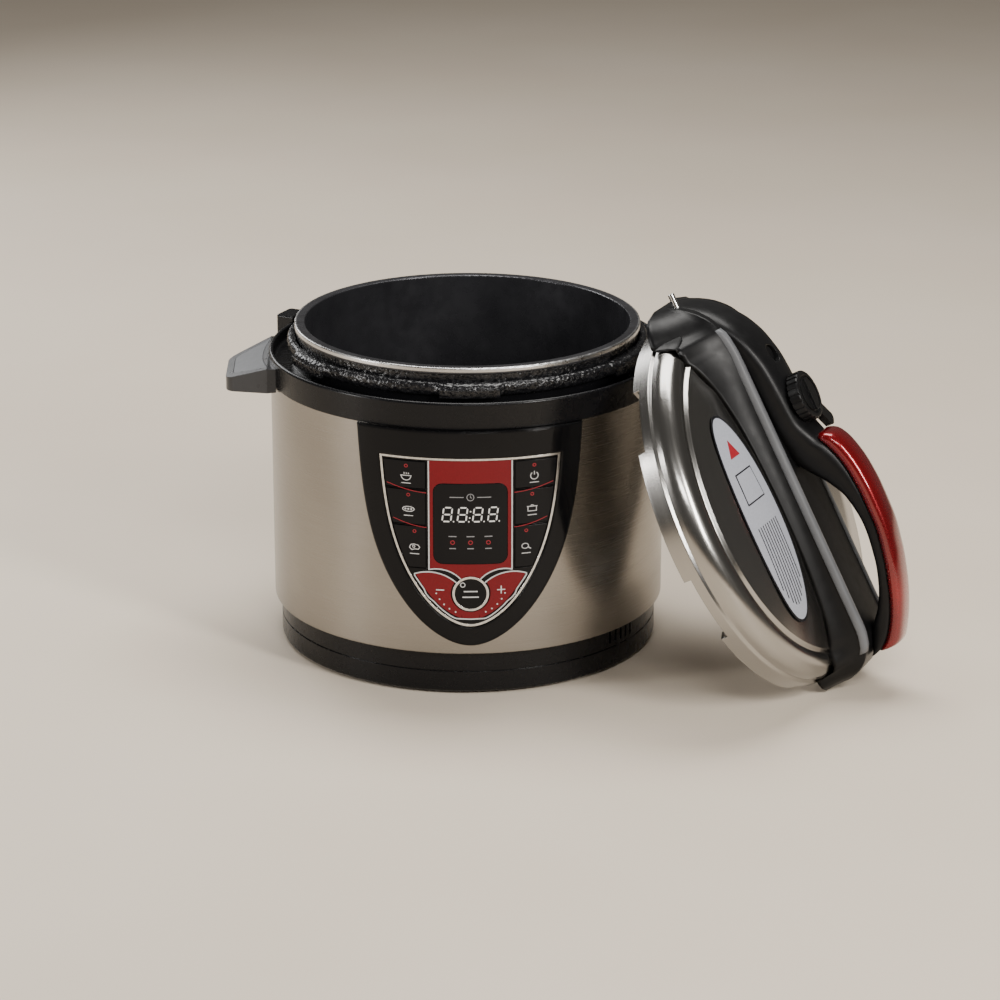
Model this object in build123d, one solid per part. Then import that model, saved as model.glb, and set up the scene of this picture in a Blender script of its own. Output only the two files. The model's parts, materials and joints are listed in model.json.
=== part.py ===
from build123d import *
import os
from math import cos, radians, sin, sqrt

os.makedirs("parts", exist_ok=True)

# Electric pressure cooker with a bayonet lid.
# +Z is up, the control panel faces -Y, and the origin is on the cooker's
# vertical axis at table level. The lid is off: it stands on its edge beside
# the base and leans towards it. All sizes are millimetres.

# ---- Driving dimensions: the base ------------------------------------------
shell_r = 135.0            # outside of the steel body wrap
shell_wall = 0.8
shell_lower_z = 31.0       # lower edge of the steel wrap
shell_h = 157.0
base_step = 4.5            # how far the plastic base stands in from the steel
base_wall = 3.0
foot_h = 2.0
foot_r = 11.0
collar_h = 18.0            # collar lip above the steel wrap
collar_overhang = 1.0
collar_wall = 3.0
trough_depth = 8.0         # condensate trough below the collar lip
handle_reach = 29.0        # side handle beyond the collar
handle_root_w = 80.0
handle_tip_w = 48.0
handle_wall = 3.0
bay_teeth = 6
bay_pot_tooth_deg = 18.0
bay_lid_tooth_deg = 39.0
fit_gap = 0.3              # clearance between pieces that lift or slide apart

# ---- Driving dimensions: pots and heater -----------------------------------
neck_r = 117.0             # outside of the outer pot
outer_pot_wall = 1.8
outer_pot_floor_z = 42.0
neck_h = 32.0              # outer pot's neck above the steel wrap
flange_t = 5.5
flange_reach = 10.0
inner_pot_wall = 1.3
inner_pot_rim_w = 7.0
inner_pot_rim_t = 2.0
inner_pot_corner_r = 12.0
pot_side_gap = 2.7
heater_side_gap = 15.2       # heating plate's edge to the outer pot's wall
heater_t = 12.0
heater_standoff = 8.0
sensor_r = 9.0

# ---- Driving dimensions: control panel -------------------------------------
panel_top_half_w = 74.0
panel_h = 149.0            # bezel height below the steel wrap's top
bezel_t = 4.6              # bezel beyond the steel wrap
bezel_border = 13.0
face_t = 1.2
face_top_drop = 18.5       # top of the key field below the steel wrap's top
column_side = 2.9          # red column on each side of the display window
window_w = 49.0
window_h = 56.0
key_travel = 0.8
key_gap = 0.5
select_r = 10.5
select_ring_w = 1.6
adjust_border = 4.5        # minus and plus keys inside the bezel's border
adjust_arc_r = 25.75       # arched tops of the minus and plus keys

# ---- Driving dimensions: the lid -------------------------------------------
lid_r = 131.0
lid_wall = 1.2
lid_notch_h = 5.0
lid_skirt_h = 11.5
lid_band_r = 129.2
lid_shoulder_h = 28.5
lid_shoulder_r = 115.0
lid_dome_h = 42.0
lid_tooth_t = 2.5
lid_tooth_reach = 7.0
cover_h = 54.0             # flat top of the cover above the lid's rim plane
cover_wall = 2.5
cover_top_half_w = 24.0
cover_foot_half_w = 31.0
cover_end_half_w = 44.0
cover_front_u = -143.0     # end of the cover at the valve side
cover_back_u = 141.0       # end of the cover at the grip side
ridge_half_w = 18.0
ridge_h = 71.0
arch_half_w = 11.0
grip_half_w = 12.5
knob_u = -51.0
knob_r = 17.0
knob_h = 8.0
float_u = -85.5
float_r = 6.0
float_travel = 3.5

# ---- How the lid stands beside the base ------------------------------------
lean_deg = 27.8            # lid axis above the horizontal
turn_deg = 22.8            # lid axis turned from +X towards the panel side
roll_deg = -2.0            # lid turned about its own axis
lid_stand = 46.5           # lid's centre beyond the steel wrap
lid_y = -77.7

# ---- Worked-out places ------------------------------------------------------
shell_top_z = shell_lower_z + shell_h
lid_x = shell_r + lid_stand
column_half_w = window_w / 2 + column_side
base_r = shell_r - base_step
collar_r = shell_r + collar_overhang
lip_z = shell_top_z + collar_h
trough_z = lip_z - trough_depth
trough_r = collar_r - collar_wall
flange_r = neck_r + flange_reach
flange_top_z = lip_z + 6.0
flange_low_z = flange_top_z - flange_t
neck_top_z = shell_top_z + neck_h
outer_pot_in_r = neck_r - outer_pot_wall
heater_r = outer_pot_in_r - heater_side_gap
pot_r = outer_pot_in_r - pot_side_gap
pot_rim_z = neck_top_z + fit_gap + inner_pot_rim_t + 2.2
pot_rim_r = pot_r - inner_pot_wall + inner_pot_rim_w
heater_low_z = outer_pot_floor_z + outer_pot_wall + heater_standoff
heater_top_z = heater_low_z + heater_t
pot_floor_z = heater_top_z + fit_gap


def save(shape, name):
    """Write one named piece."""
    shape.label = name
    export_step(shape, f"parts/{name}.step")


def joined(shapes):
    """Several separate solids as one named group."""
    return Compound(children=[s for s in shapes])


def tube(outer_r, inner_r, low_z, high_z):
    """A plain ring about the vertical axis."""
    h = high_z - low_z
    ring = Cylinder(outer_r, h, align=(Align.CENTER, Align.CENTER, Align.MIN))
    ring -= Cylinder(inner_r, 3 * h, align=(Align.CENTER, Align.CENTER, Align.CENTER))
    return Pos(0, 0, low_z) * ring


def disc(r, low_z, high_z):
    """A plain disc about the vertical axis."""
    h = high_z - low_z
    return Pos(0, 0, low_z) * Cylinder(r, h, align=(Align.CENTER, Align.CENTER, Align.MIN))


def turned(points, fillets=None):
    """Revolve an outline of (radius, height) points, rounding chosen corners."""
    outline = make_face(Polyline(*points, close=True))
    for index, r in (fillets or {}).items():
        corner = Vector(points[index][0], points[index][1])
        vertex = min(outline.vertices(), key=lambda v: (Vector(*v) - corner).length)
        outline = fillet(vertex, r)
    return revolve(Plane.XZ * outline, Axis.Z)


def sector(r, low_z, high_z, mid_deg, width_deg):
    """A wedge of the space about the vertical axis."""
    half = width_deg / 2
    wedge = Cylinder(
        r, high_z - low_z, arc_size=width_deg,
        align=(Align.NONE, Align.NONE, Align.MIN),
    )
    return Pos(0, 0, low_z) * Rot(0, 0, mid_deg - half) * wedge


def around(shape, count, first_deg=0.0):
    """Copies of a shape about the vertical axis."""
    return [Rot(0, 0, first_deg + k * 360 / count) * shape for k in range(count)]


def screw(length, shank_r=1.9, head_r=3.8, head_t=2.4):
    """A pan-head screw pointing up, its head's top face at z = 0."""
    body = Cylinder(shank_r, length, align=(Align.CENTER, Align.CENTER, Align.MIN))
    head = Cylinder(head_r, head_t, align=(Align.CENTER, Align.CENTER, Align.MIN))
    slot = Box(head_r * 1.3, 1.0, 1.0, align=(Align.CENTER, Align.CENTER, Align.CENTER))
    cross = slot + Rot(0, 0, 90) * slot
    return body + fillet(head.edges().group_by(Axis.Z)[0], 0.8) - cross


# ==== Base casing =============================================================
power_x = -48.0
power_y = 5.0
power_z = 16.0
inlet_deg = 55.0
inlet_z = 17.5
inlet_w = 30.0
inlet_h = 20.0
inlet_depth = 24.0
screw_ring_r = 92.0
screw_count = 4
boss_r = 5.5
boss_top_z = outer_pot_floor_z - fit_gap
base_top_z = shell_lower_z + 12.0
floor_t = 3.0
seam_z = 17.0


def base_bottom():
    """Plastic base: floor, ring wall, screw bosses, louvres and floor vents."""
    wall = tube(base_r, base_r - base_wall, foot_h, base_top_z)
    wall = fillet(wall.edges().group_by(Axis.Z)[0].sort_by(SortBy.RADIUS)[-1], 2.0)
    floor = disc(base_r - base_wall, foot_h, foot_h + floor_t)
    bosses = [
        Rot(0, 0, 45 + k * 90) * Pos(screw_ring_r, 0, 0) * disc(boss_r, foot_h, boss_top_z)
        for k in range(screw_count)
    ]
    posts = [
        Pos(power_x + i * 32, power_y + j * 37, 0) * disc(3.2, foot_h, power_z - 0.8)
        for i in (-1, 1) for j in (-1, 1)
    ]
    body = wall + floor + bosses + posts
    body -= tube(base_r + 5, base_r - 0.8, seam_z - 0.5, seam_z + 0.5)
    drilled = disc(2.0, foot_h - 1, boss_top_z + 1) + disc(4.2, foot_h - 1, foot_h + 5)
    for k in range(screw_count):
        body -= Rot(0, 0, 45 + k * 90) * Pos(screw_ring_r, 0, 0) * drilled
    for side_deg in (-38, 142, 38):
        for k in range(5):
            slot = Pos(base_r, 0, 24.5) * Box(12, 2.2, 9)
            body -= Rot(0, 0, side_deg + (k - 2) * 2.6) * slot
    for ring_r in (40, 55, 70):
        slot = Pos(ring_r, 0, foot_h) * Box(3, 16, 12)
        for piece in around(slot, 10, 18):
            body -= piece
    for k in range(4):
        body -= Rot(0, 0, k * 90) * Pos(base_r - 17, 0, 0) * disc(foot_r, foot_h - 1, foot_h + 1.5)
    body -= inlet_place() * Box(inlet_w + 0.2, 30, inlet_h + 0.2)
    return body


def feet():
    """Rubber feet in shallow sockets."""
    pad = disc(foot_r - 0.2, 0, foot_h + 1.5)
    pad = fillet(pad.edges().group_by(Axis.Z)[0], 0.6)
    return joined([Rot(0, 0, k * 90) * Pos(base_r - 17, 0, 0) * pad for k in range(4)])


shell_in_r = shell_r - shell_wall


def steel_shell():
    """Brushed steel wrap with a turned-in lower edge and the panel's opening."""
    body = tube(shell_r, shell_in_r, shell_lower_z, shell_top_z)
    hem = tube(shell_in_r, base_r + fit_gap, shell_lower_z, shell_lower_z + shell_wall)
    body += hem
    body = fillet(
        body.edges().filter_by(GeomType.CIRCLE).group_by(Axis.Z)[0].sort_by(SortBy.RADIUS)[-1],
        shell_wall * 0.9,
    )
    return body - wrapped(shield(bezel_border - 4, face_top_z), base_r, shell_r + 5)


def collar():
    """Plastic collar: outer lip, condensate trough and the ring under the flange."""
    inner_r = neck_r + fit_gap
    ring_r = neck_r + 3.2
    skirt_r = shell_in_r - 0.1
    points = [
        (inner_r, shell_top_z + 2),
        (inner_r, flange_low_z - 0.1),
        (ring_r, flange_low_z - 0.1),
        (ring_r, trough_z),
        (trough_r, trough_z),
        (trough_r, lip_z),
        (collar_r, lip_z),
        (collar_r, shell_top_z),
        (skirt_r, shell_top_z),
        (skirt_r, shell_top_z - 8),
        (skirt_r - 2.5, shell_top_z - 8),
        (skirt_r - 2.5, trough_z - collar_wall),
        (ring_r, trough_z - collar_wall),
        (ring_r, shell_top_z + 2),
    ]
    body = turned(points, {5: 1.2, 6: 1.6, 4: 2.5})
    hole = Rot(0, 90, 0) * Cylinder(2.0, 20)
    for deg in (0, 180):
        for side in (-1, 1):
            body -= Rot(0, 0, deg) * Pos(collar_r, side * 22, handle_screw_z) * hole
    drain = Pos(0, trough_r - 5, trough_z) * Box(10, 4, 12)
    return body - drain


handle_screw_z = shell_top_z + 2.5
handle_root_top_z = shell_top_z + 13.0
handle_tip_top_z = shell_top_z + 2.0
handle_root_low_z = shell_top_z - 3.0
handle_tip_low_z = shell_top_z - 7.0
handle_tip_x = collar_r + handle_reach


def handle_block(inset=0.0):
    """Wedge of a side handle on the +X side, drawn in by inset."""
    tip_x = handle_tip_x - inset
    root = handle_root_w / 2 - inset
    tip = handle_tip_w / 2 - inset
    plan = Polyline(
        (100, -root), (collar_r, -root), (tip_x, -tip), (tip_x, tip), (collar_r, root), (100, root),
        close=True,
    )
    plan = make_face(plan)
    corners = plan.vertices().filter_by_position(Axis.X, tip_x - 1, tip_x + 1)
    plan = fillet(corners, 12 - inset)
    block = Pos(0, 0, shell_top_z - 40) * extrude(plan, 80)
    side = Polyline(
        (collar_r - 10, handle_root_low_z + inset / 3),
        (handle_tip_x, handle_tip_low_z + inset / 3),
        (handle_tip_x, handle_tip_top_z - inset),
        (collar_r, handle_root_top_z - inset),
        (collar_r - 10, handle_root_top_z - inset),
        close=True,
    )
    side = extrude(Plane.XZ * make_face(side), handle_root_w, both=True)
    return block & side


def side_handle():
    """Hollow side handle, open underneath for the fingers."""
    body = handle_block()
    hollow = handle_block(handle_wall)
    hollow += Pos(0, 0, -2 * handle_wall) * hollow
    hollow &= tube(handle_tip_x + 50, collar_r + 8, 0, lip_z)
    body -= hollow
    body -= disc(collar_r, 0, lip_z + 50)
    recess = Pos(0, 0, 1.0) * plate_blank(0.0)
    body -= recess
    for side in (-1, 1):
        pilot = Pos(collar_r, side * 22, handle_screw_z) * Rot(0, 90, 0) * Cylinder(1.6, 16)
        body -= pilot
    return body


def plate_blank(inset):
    """Thin plate lying along a side handle's sloping top."""
    slab = handle_block(5.0 + inset)
    lowered = Pos(0, 0, -1.4) * handle_block(5.0 + inset)
    skin = Pos(0, 0, 4.0) * (slab - lowered)
    skin -= disc(collar_r + 4.0 + inset, 0, lip_z + 50)
    solids = skin.solids()
    top = max(solids, key=lambda s: s.volume)
    return top


def handle_top_plate():
    """Satin plate set into a side handle's top."""
    return Pos(0, 0, 1.0 + 0.15) * plate_blank(0.15)


def handle_screws(deg):
    """Screws through the collar into one side handle."""
    piece = Rot(0, 90, 0) * screw(14.0, 1.55)
    head_x = sqrt((trough_r - 1.5) ** 2 - 26**2) - 2.4
    pair = [Pos(head_x, s * 22, handle_screw_z) * piece for s in (-1, 1)]
    return [Rot(0, 0, deg) * p for p in pair]


def lid_switch_housing():
    """Interlock switch housing on the collar, behind the left handle."""
    block = Box(
        14, 20, lip_z - shell_top_z + 12, align=(Align.MIN, Align.CENTER, Align.MIN)
    )
    block = fillet(block.edges().filter_by(Axis.Z).sort_by(Axis.X)[-2:], 3.0)
    block = fillet(block.faces().sort_by(Axis.Z)[-1].edges(), 1.2)
    body = Rot(0, 0, 180 - 29) * Pos(trough_r + 0.6, 0, shell_top_z - 8) * block
    body -= disc(collar_r, shell_top_z - 20, lip_z + fit_gap / 3)
    return body


# ==== Pots and heater =========================================================
def outer_pot():
    """Pressed outer pot with a hammered bayonet flange below its neck."""
    wall = outer_pot_wall
    can = disc(neck_r, outer_pot_floor_z, neck_top_z)
    can = fillet(can.edges().group_by(Axis.Z)[0], 10.0)
    inside = disc(outer_pot_in_r, outer_pot_floor_z + wall, neck_top_z + 1)
    inside = fillet(inside.edges().group_by(Axis.Z)[0], 10.0 - wall)
    ring = tube(neck_r + 3.4, neck_r - 0.5, flange_low_z, flange_top_z)
    body = can + ring
    tooth_ring = tube(flange_r, neck_r, flange_low_z, flange_top_z)
    tooth = tooth_ring & sector(flange_r + 5, flange_low_z, flange_top_z, 0, bay_pot_tooth_deg)
    for piece in around(tooth, bay_teeth, -90):
        body += piece
    body -= inside
    body -= disc(sensor_r + 3, outer_pot_floor_z - 5, outer_pot_floor_z + 10)
    for deg in (60, 120, 240, 300):
        body -= Rot(0, 0, deg) * Pos(heater_r - 22, 0, 0) * disc(5, outer_pot_floor_z - 5, 60)
    return body


def heating_plate():
    """Cast aluminium plate on stand-off legs, with the sensor's hole."""
    plate = disc(heater_r, heater_low_z, heater_top_z)
    plate = fillet(plate.edges().group_by(Axis.Z)[-1], 2.0)
    plate -= disc(sensor_r + 0.4, heater_low_z - 1, heater_top_z + 1)
    ridge = tube(heater_r - 14, heater_r - 30, heater_low_z - 4, heater_low_z)
    ridge = fillet(ridge.edges().group_by(Axis.Z)[0], 3.0)
    plate += ridge
    leg = Pos(heater_r - 48, 0, 0) * disc(5, outer_pot_floor_z + outer_pot_wall, heater_low_z)
    for piece in around(leg, 3, 30):
        plate += piece
    return plate


def heater_terminals():
    """Terminal pins of the cast-in element, in ceramic sleeves."""
    parts = []
    for deg in (60, 120):
        place = Rot(0, 0, deg) * Pos(heater_r - 22, 0, 0)
        low = heater_low_z - 4
        sleeve = disc(4.0, outer_pot_floor_z - 6, low)
        pin = disc(1.6, outer_pot_floor_z - 14, outer_pot_floor_z - 6)
        parts.append(place * (sleeve + pin))
    return joined(parts)


def temperature_sensor():
    """Sprung sensor can that touches the inner pot's floor."""
    cap = disc(sensor_r, heater_top_z - 8, heater_top_z)
    cap = fillet(cap.edges().group_by(Axis.Z)[-1], 1.2)
    stem = disc(3.5, outer_pot_floor_z - 10, heater_top_z - 8)
    return cap + stem


def sensor_spring():
    """Compression spring round the sensor's stem."""
    height = heater_top_z - 8 - (outer_pot_floor_z + 1.2) - 0.2
    path = Helix(pitch=height / 5, height=height - 1.2, radius=5.5)
    wire = sweep(Plane(path @ 0, z_dir=path % 0) * Circle(0.6), path)
    return Pos(0, 0, outer_pot_floor_z + 1.8) * wire


def sensor_bracket():
    """Pressed strap under the outer pot that carries the sensor's spring."""
    strap = Box(70, 22, 1.2, align=(Align.CENTER, Align.CENTER, Align.MAX))
    strap = fillet(strap.edges().filter_by(Axis.Z), 8)
    strap = Pos(0, 0, outer_pot_floor_z - 0.1) * strap
    floor = disc(11, outer_pot_floor_z - 0.1, outer_pot_floor_z + 1.1)
    body = strap + floor
    return body - disc(3.8, outer_pot_floor_z - 20, outer_pot_floor_z + 20)


def inner_pot():
    """Removable pot with a flat rolled rim."""
    in_r = pot_r - inner_pot_wall
    can = disc(pot_r, pot_floor_z, pot_rim_z - inner_pot_rim_t)
    can = fillet(can.edges().group_by(Axis.Z)[0], inner_pot_corner_r)
    rim_low_z = pot_rim_z - inner_pot_rim_t
    rim = tube(pot_rim_r, in_r, rim_low_z, pot_rim_z)
    roll = tube(pot_rim_r, pot_rim_r - 2.0, rim_low_z - 2.0, rim_low_z)
    body = can + rim + roll
    inside = disc(in_r, pot_floor_z + inner_pot_wall, pot_rim_z + 1)
    inside = fillet(inside.edges().group_by(Axis.Z)[0], inner_pot_corner_r - inner_pot_wall)
    body -= inside
    top = body.edges().filter_by(GeomType.CIRCLE).group_by(Axis.Z)[-1]
    return fillet(top, 0.8)


# ==== Electrics in the base ===================================================

def power_board():
    """Mains circuit board with its bulky components."""
    standing = (Align.CENTER, Align.CENTER, Align.MIN)
    board = Box(74, 84, 1.6)
    relay = Pos(-14, 21, 0.8) * Box(20, 28, 15, align=standing)
    coil = Pos(14, 21, 0.8) * Box(22, 26, 16, align=standing)
    can = Pos(-14, -13, 0.8) * disc(7, 0, 17)
    small = Pos(8, -15, 0.8) * disc(4.5, 0, 11)
    plug = Pos(0, -35, 0.8) * Box(30, 8, 9, align=standing)
    return Pos(power_x, power_y, power_z) * (board + relay + coil + can + small + plug)


def pressure_switch():
    """Switch that trips when the outer pot's floor is pressed down."""
    body = Pos(48, -20, 22) * Box(30, 18, 18)
    lever = Pos(48, -20, 31) * Box(24, 5, 1.0, align=(Align.CENTER, Align.CENTER, Align.MIN))
    button = Pos(48, -20, 32) * disc(2.2, 0, outer_pot_floor_z - 32 - 0.2)
    post = Pos(48, -20, foot_h + floor_t) * disc(6, 0, 13 - foot_h - floor_t)
    return body + lever + button + post


def thermal_fuse():
    """Thermal fuse clipped under the outer pot."""
    can = Pos(0, 48, outer_pot_floor_z - 4) * Rot(0, 90, 0) * Cylinder(2.2, 14)
    strap = Pos(0, 48, outer_pot_floor_z - 1.9) * Box(5, 14, 3.6)
    return can + strap


def inlet_place():
    """Where the power inlet sits in the base's ring wall."""
    return Rot(0, 0, inlet_deg - 90) * Pos(0, base_r, inlet_z)


def power_inlet():
    """Three-pole appliance inlet with its flange against the base's ring wall."""
    body = Pos(0, -inlet_depth / 2, 0) * Box(inlet_w, inlet_depth, inlet_h)
    flange = Box(inlet_w + 8, 4.0, inlet_h + 4)
    flange = fillet(flange.edges().filter_by(Axis.Y), 2.0)
    flange = inlet_place() * flange - disc(base_r, 0, 2 * inlet_z)
    cavity = Pos(0, -7, 0) * Box(inlet_w - 6, 20.2, inlet_h - 6)
    cavity = fillet(cavity.edges().filter_by(Axis.Y), 2.0)
    return inlet_place() * body + flange - inlet_place() * cavity - inlet_pins()


def inlet_pins():
    """Three flat pins of the inlet."""
    pin = Pos(0, 4 - inlet_depth, 0) * Box(2.0, 16.0, 4.0)
    spots = [(-7, -2), (0, 2.5), (7, -2)]
    return joined([inlet_place() * Pos(x, 0, z) * pin for x, z in spots])


def base_screws():
    """Long screws from the base into the outer pot's floor."""
    piece = screw(boss_top_z - foot_h - 3)
    return joined([
        Rot(0, 0, 45 + k * 90) * Pos(screw_ring_r, 0, foot_h + 2.4) * piece
        for k in range(screw_count)
    ])


# ==== Control panel ===========================================================
face_top_z = shell_top_z - face_top_drop
panel_low_z = shell_top_z - panel_h
bezel_r = shell_r + bezel_t
floor_r = shell_r + 1.3
face_r = shell_r + 3.6


def shield(inset, top_z):
    """Shield outline on the XZ plane, drawn in by inset, cut off at top_z."""
    half = panel_top_half_w - inset
    low = panel_low_z + inset
    height = shell_top_z - low
    sides = [(1.0, 1.0), (0.948, 0.69), (0.825, 0.42), (0.59, 0.194), (0.28, 0.046)]
    right = [(half * x, low + height * z) for x, z in sides]
    left = [(-x, z) for x, z in right]
    curve = Spline(*right, (0, low), *reversed(left))
    top = Line(left[0], right[0])
    face = make_face([curve, top])
    keep = Pos(0, top_z - 200) * Rectangle(400, 400)
    return face & keep


def wrapped(face, low_r, high_r):
    """A flat XZ outline carried onto the front of the cylinder, from low_r to high_r."""
    solid = extrude(Plane.XZ * face, 200)
    return solid & tube(high_r, low_r, 0, lip_z)


window_z = face_top_z - 17.5 - window_h / 2


def key_window(gap=0.0):
    """Rounded outline of the display window's opening, drawn in by gap."""
    return Pos(0, window_z) * RectangleRounded(window_w - 2 * gap, window_h - 2 * gap, 6 - gap)


def face_ribs():
    """Outlines of the ribs between the bezel's floor and the face plate."""
    rib = Rectangle(1.6, 70)
    spots = [Pos(s * (column_half_w - 1.0), face_top_z - 39) for s in (-1, 1)]
    return spots[0] * rib + spots[1] * rib


select_z = face_top_z - 94.0
adjust_arc_x = 27.1
adjust_arc_z = select_z - 11.2


def adjust_zone(gap=0.0):
    """Crescent that holds the minus and plus keys, drawn in by gap."""
    arches = Pos(0, select_z - 12) * Rectangle(adjust_arc_x, 16)
    for side in (-1, 1):
        arches += Pos(side * adjust_arc_x, adjust_arc_z) * Circle(adjust_arc_r - gap)
    moon = arches & shield(bezel_border + adjust_border + gap, face_top_z)
    return moon - Pos(0, select_z) * Circle(select_r + select_ring_w + key_gap + gap)


side_key_lines = (2.6, 22.5, 47.5, 77.5)   # below the top of the key field


def side_zone(side, index, gap=0.0):
    """Outline of one side key, drawn in by gap: side -1 is left, index 0 is the top."""
    top = face_top_z - side_key_lines[index]
    low = face_top_z - side_key_lines[index + 1]
    h = top - low - key_gap - 2 * gap
    inner = column_half_w + 1.6 + gap
    box = Pos(side * (inner + 40), (top + low) / 2) * Rectangle(80, h)
    return shield(bezel_border + 2.4 + gap, face_top_z) & box


def panel_bezel():
    """Glossy shield-shaped bezel with a raised border and a floor for the keys."""
    outline = shield(0, shell_top_z - 0.3)
    body = wrapped(outline, shell_r + 0.05, bezel_r)
    pocket = wrapped(shield(bezel_border, face_top_z), floor_r, bezel_r + 5)
    body -= pocket
    body += wrapped(face_ribs(), floor_r - 0.5, face_r - face_t)
    body -= wrapped(key_window(), shell_r - 5, bezel_r)
    for x, z in stem_spots():
        body -= Pos(x, -shell_r, z) * Rot(90, 0, 0) * Cylinder(stem_r + 0.5, 30)
    return body


def panel_face():
    """Printed face plate around the keys and the window."""
    body = wrapped(shield(bezel_border + 0.2, face_top_z - 0.2), face_r - face_t, face_r)
    body -= wrapped(key_window(), floor_r, bezel_r)
    for side in (-1, 1):
        for index in range(3):
            zone = wrapped(side_zone(side, index), floor_r, bezel_r)
            body -= zone
    body -= wrapped(adjust_zone(), floor_r, bezel_r)
    hole = Pos(0, select_z) * Circle(select_r + select_ring_w + key_gap)
    body -= wrapped(hole, floor_r, bezel_r)
    solids = body.solids()
    return max(solids, key=lambda s: s.volume)


stem_r = 2.5
side_key_x = 41.0
side_key_drops = (13.0, 35.0, 62.0)
adjust_key_x = 24.0


def stem_spots():
    """Where the key stems pass through the bezel's floor."""
    spots = [(s * side_key_x, face_top_z - d) for s in (-1, 1) for d in side_key_drops]
    spots += [(-adjust_key_x, select_z + 4), (adjust_key_x, select_z + 4), (0, select_z)]
    return spots


board_front_y = -(neck_r + 5.2)
board_w = 104.0
board_h = 104.0
board_t = 1.6
board_low_z = select_z - 13.5
board_corner = 24.0
switch_t = 3.0


def stem(x, z):
    """Stem from behind a key to just off its switch."""
    back_y = -sqrt((face_r - face_t + 0.4) ** 2 - x**2)
    front = board_front_y - switch_t - key_travel - 0.2
    return Pos(x, back_y, z) * Rot(-90, 0, 0) * Cylinder(
        stem_r, front - back_y, align=(Align.CENTER, Align.CENTER, Align.MIN)
    )


def side_key(side, index):
    """One side key with its stem."""
    plate = wrapped(side_zone(side, index, key_gap), face_r - face_t, face_r + 0.15)
    return plate + stem(side * side_key_x, face_top_z - side_key_drops[index])


def adjust_key(side):
    """Minus (side -1) or plus (side 1) key with its stem."""
    half = Pos(side * 60, select_z) * Rectangle(120 - 12, 120)
    plate = wrapped(adjust_zone(key_gap) & half, face_r - face_t, face_r + 0.15)
    return plate + stem(side * adjust_key_x, select_z + 4)


def select_key():
    """Round start and stop key with its stem."""
    zone = Pos(0, select_z) * Circle(select_r)
    plate = wrapped(zone, face_r - face_t, face_r + 0.6)
    return plate + stem(0, select_z)


def select_ring():
    """Bright ring that moves with the round key."""
    zone = Pos(0, select_z) * (Circle(select_r + select_ring_w) - Circle(select_r + 0.05))
    ring = wrapped(zone, face_r - face_t, face_r + 0.9)
    return ring


def face_trim():
    """Bright line round the key field."""
    outer = shield(bezel_border + 0.3, face_top_z - 0.3)
    inner = shield(bezel_border + 2.0, face_top_z - 1.7)
    return wrapped(outer - inner, face_r + 0.02, face_r + 0.35)


def display_window():
    """Tinted window over the digits."""
    return wrapped(key_window(0.2), shell_r + 0.2, face_r + 0.1)


def display_module():
    """Digit display behind the window."""
    depth = shell_r - 2.6 + board_front_y
    return Pos(0, board_front_y, window_z) * Box(
        40, depth, 46, align=(Align.CENTER, Align.MAX, Align.CENTER)
    )


def control_board():
    """Control circuit board on edge behind the panel."""
    board = Box(board_w, board_t, board_h)
    board = chamfer(board.edges().filter_by(Axis.Y).group_by(Axis.Z)[0], board_corner)
    return Pos(0, board_front_y + board_t / 2, board_low_z + board_h / 2) * board


def key_switches():
    """One switch under each key's stem."""
    body = Box(6, switch_t, 6, align=(Align.CENTER, Align.MAX, Align.CENTER))
    return joined([Pos(x, board_front_y, z) * body for x, z in stem_spots()])


# ==== Condensate cup at the back ==============================================
cup_w = 56.0
cup_depth = 24.0
cup_h = 46.0
cup_top_z = shell_top_z - 10.0
cup_wall = 1.6
rail_t = 3.0


def cup_bracket():
    """Bracket on the steel wrap that the cup clips to."""
    plate = Pos(0, shell_r, cup_top_z + 2 - (cup_h + 4) / 2) * Box(cup_w + 10, 12, cup_h + 4)
    plate = fillet(plate.edges().filter_by(Axis.Y), 4.0)
    plate -= disc(shell_r, 0, 300)
    plate -= Pos(0, shell_r + rail_t, 0) * Box(
        300, 60, 600, align=(Align.CENTER, Align.MIN, Align.CENTER)
    )
    hood = Pos(0, shell_r + rail_t, cup_top_z + 1.2) * Box(
        cup_w + 2, 12, 2, align=(Align.CENTER, Align.MIN, Align.MIN)
    )
    hood += Pos(0, shell_r + rail_t - 2.0, cup_top_z + 1.2) * Box(
        cup_w + 2, 2.0, 0.8, align=(Align.CENTER, Align.MIN, Align.MIN)
    )
    return plate + hood


def condensate_cup():
    """Clear cup that catches condensate from the trough."""
    y0 = shell_r + rail_t + fit_gap
    body = Pos(0, y0, cup_top_z) * Box(
        cup_w, cup_depth, cup_h, align=(Align.CENTER, Align.MIN, Align.MAX)
    )
    outer = body.edges().filter_by(Axis.Z).sort_by(Axis.Y)[-2:]
    body = fillet(outer, 9)
    body = fillet(body.edges().group_by(Axis.Z)[0], 2.5)
    hollow = Pos(0, y0 + cup_wall, cup_top_z + 1) * Box(
        cup_w - 2 * cup_wall, cup_depth - 2 * cup_wall, cup_h + 1 - cup_wall,
        align=(Align.CENTER, Align.MIN, Align.MAX),
    )
    outer = hollow.edges().filter_by(Axis.Z).sort_by(Axis.Y)[-2:]
    hollow = fillet(outer, 9 - cup_wall)
    return body - hollow


# ==== Lid, in its own frame ===================================================
# In the lid's frame z is the height above its rim plane, x runs along the
# cover towards the grip end, and the lid's axis is the z axis.
lean = radians(lean_deg)
turn = radians(turn_deg)
lid_up = Vector(cos(lean) * cos(turn), -cos(lean) * sin(turn), sin(lean))
lid_down_slope = Vector(sin(lean) * cos(turn), -sin(lean) * sin(turn), -cos(lean))
lid_origin = Vector(lid_x, lid_y, lid_r * cos(lean))
lid_plane = Plane(origin=lid_origin, x_dir=lid_down_slope, z_dir=lid_up)
lid_place = lid_plane.location * Rot(0, 0, roll_deg)
lid_tooth_mid_deg = -104.0 - roll_deg


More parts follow.
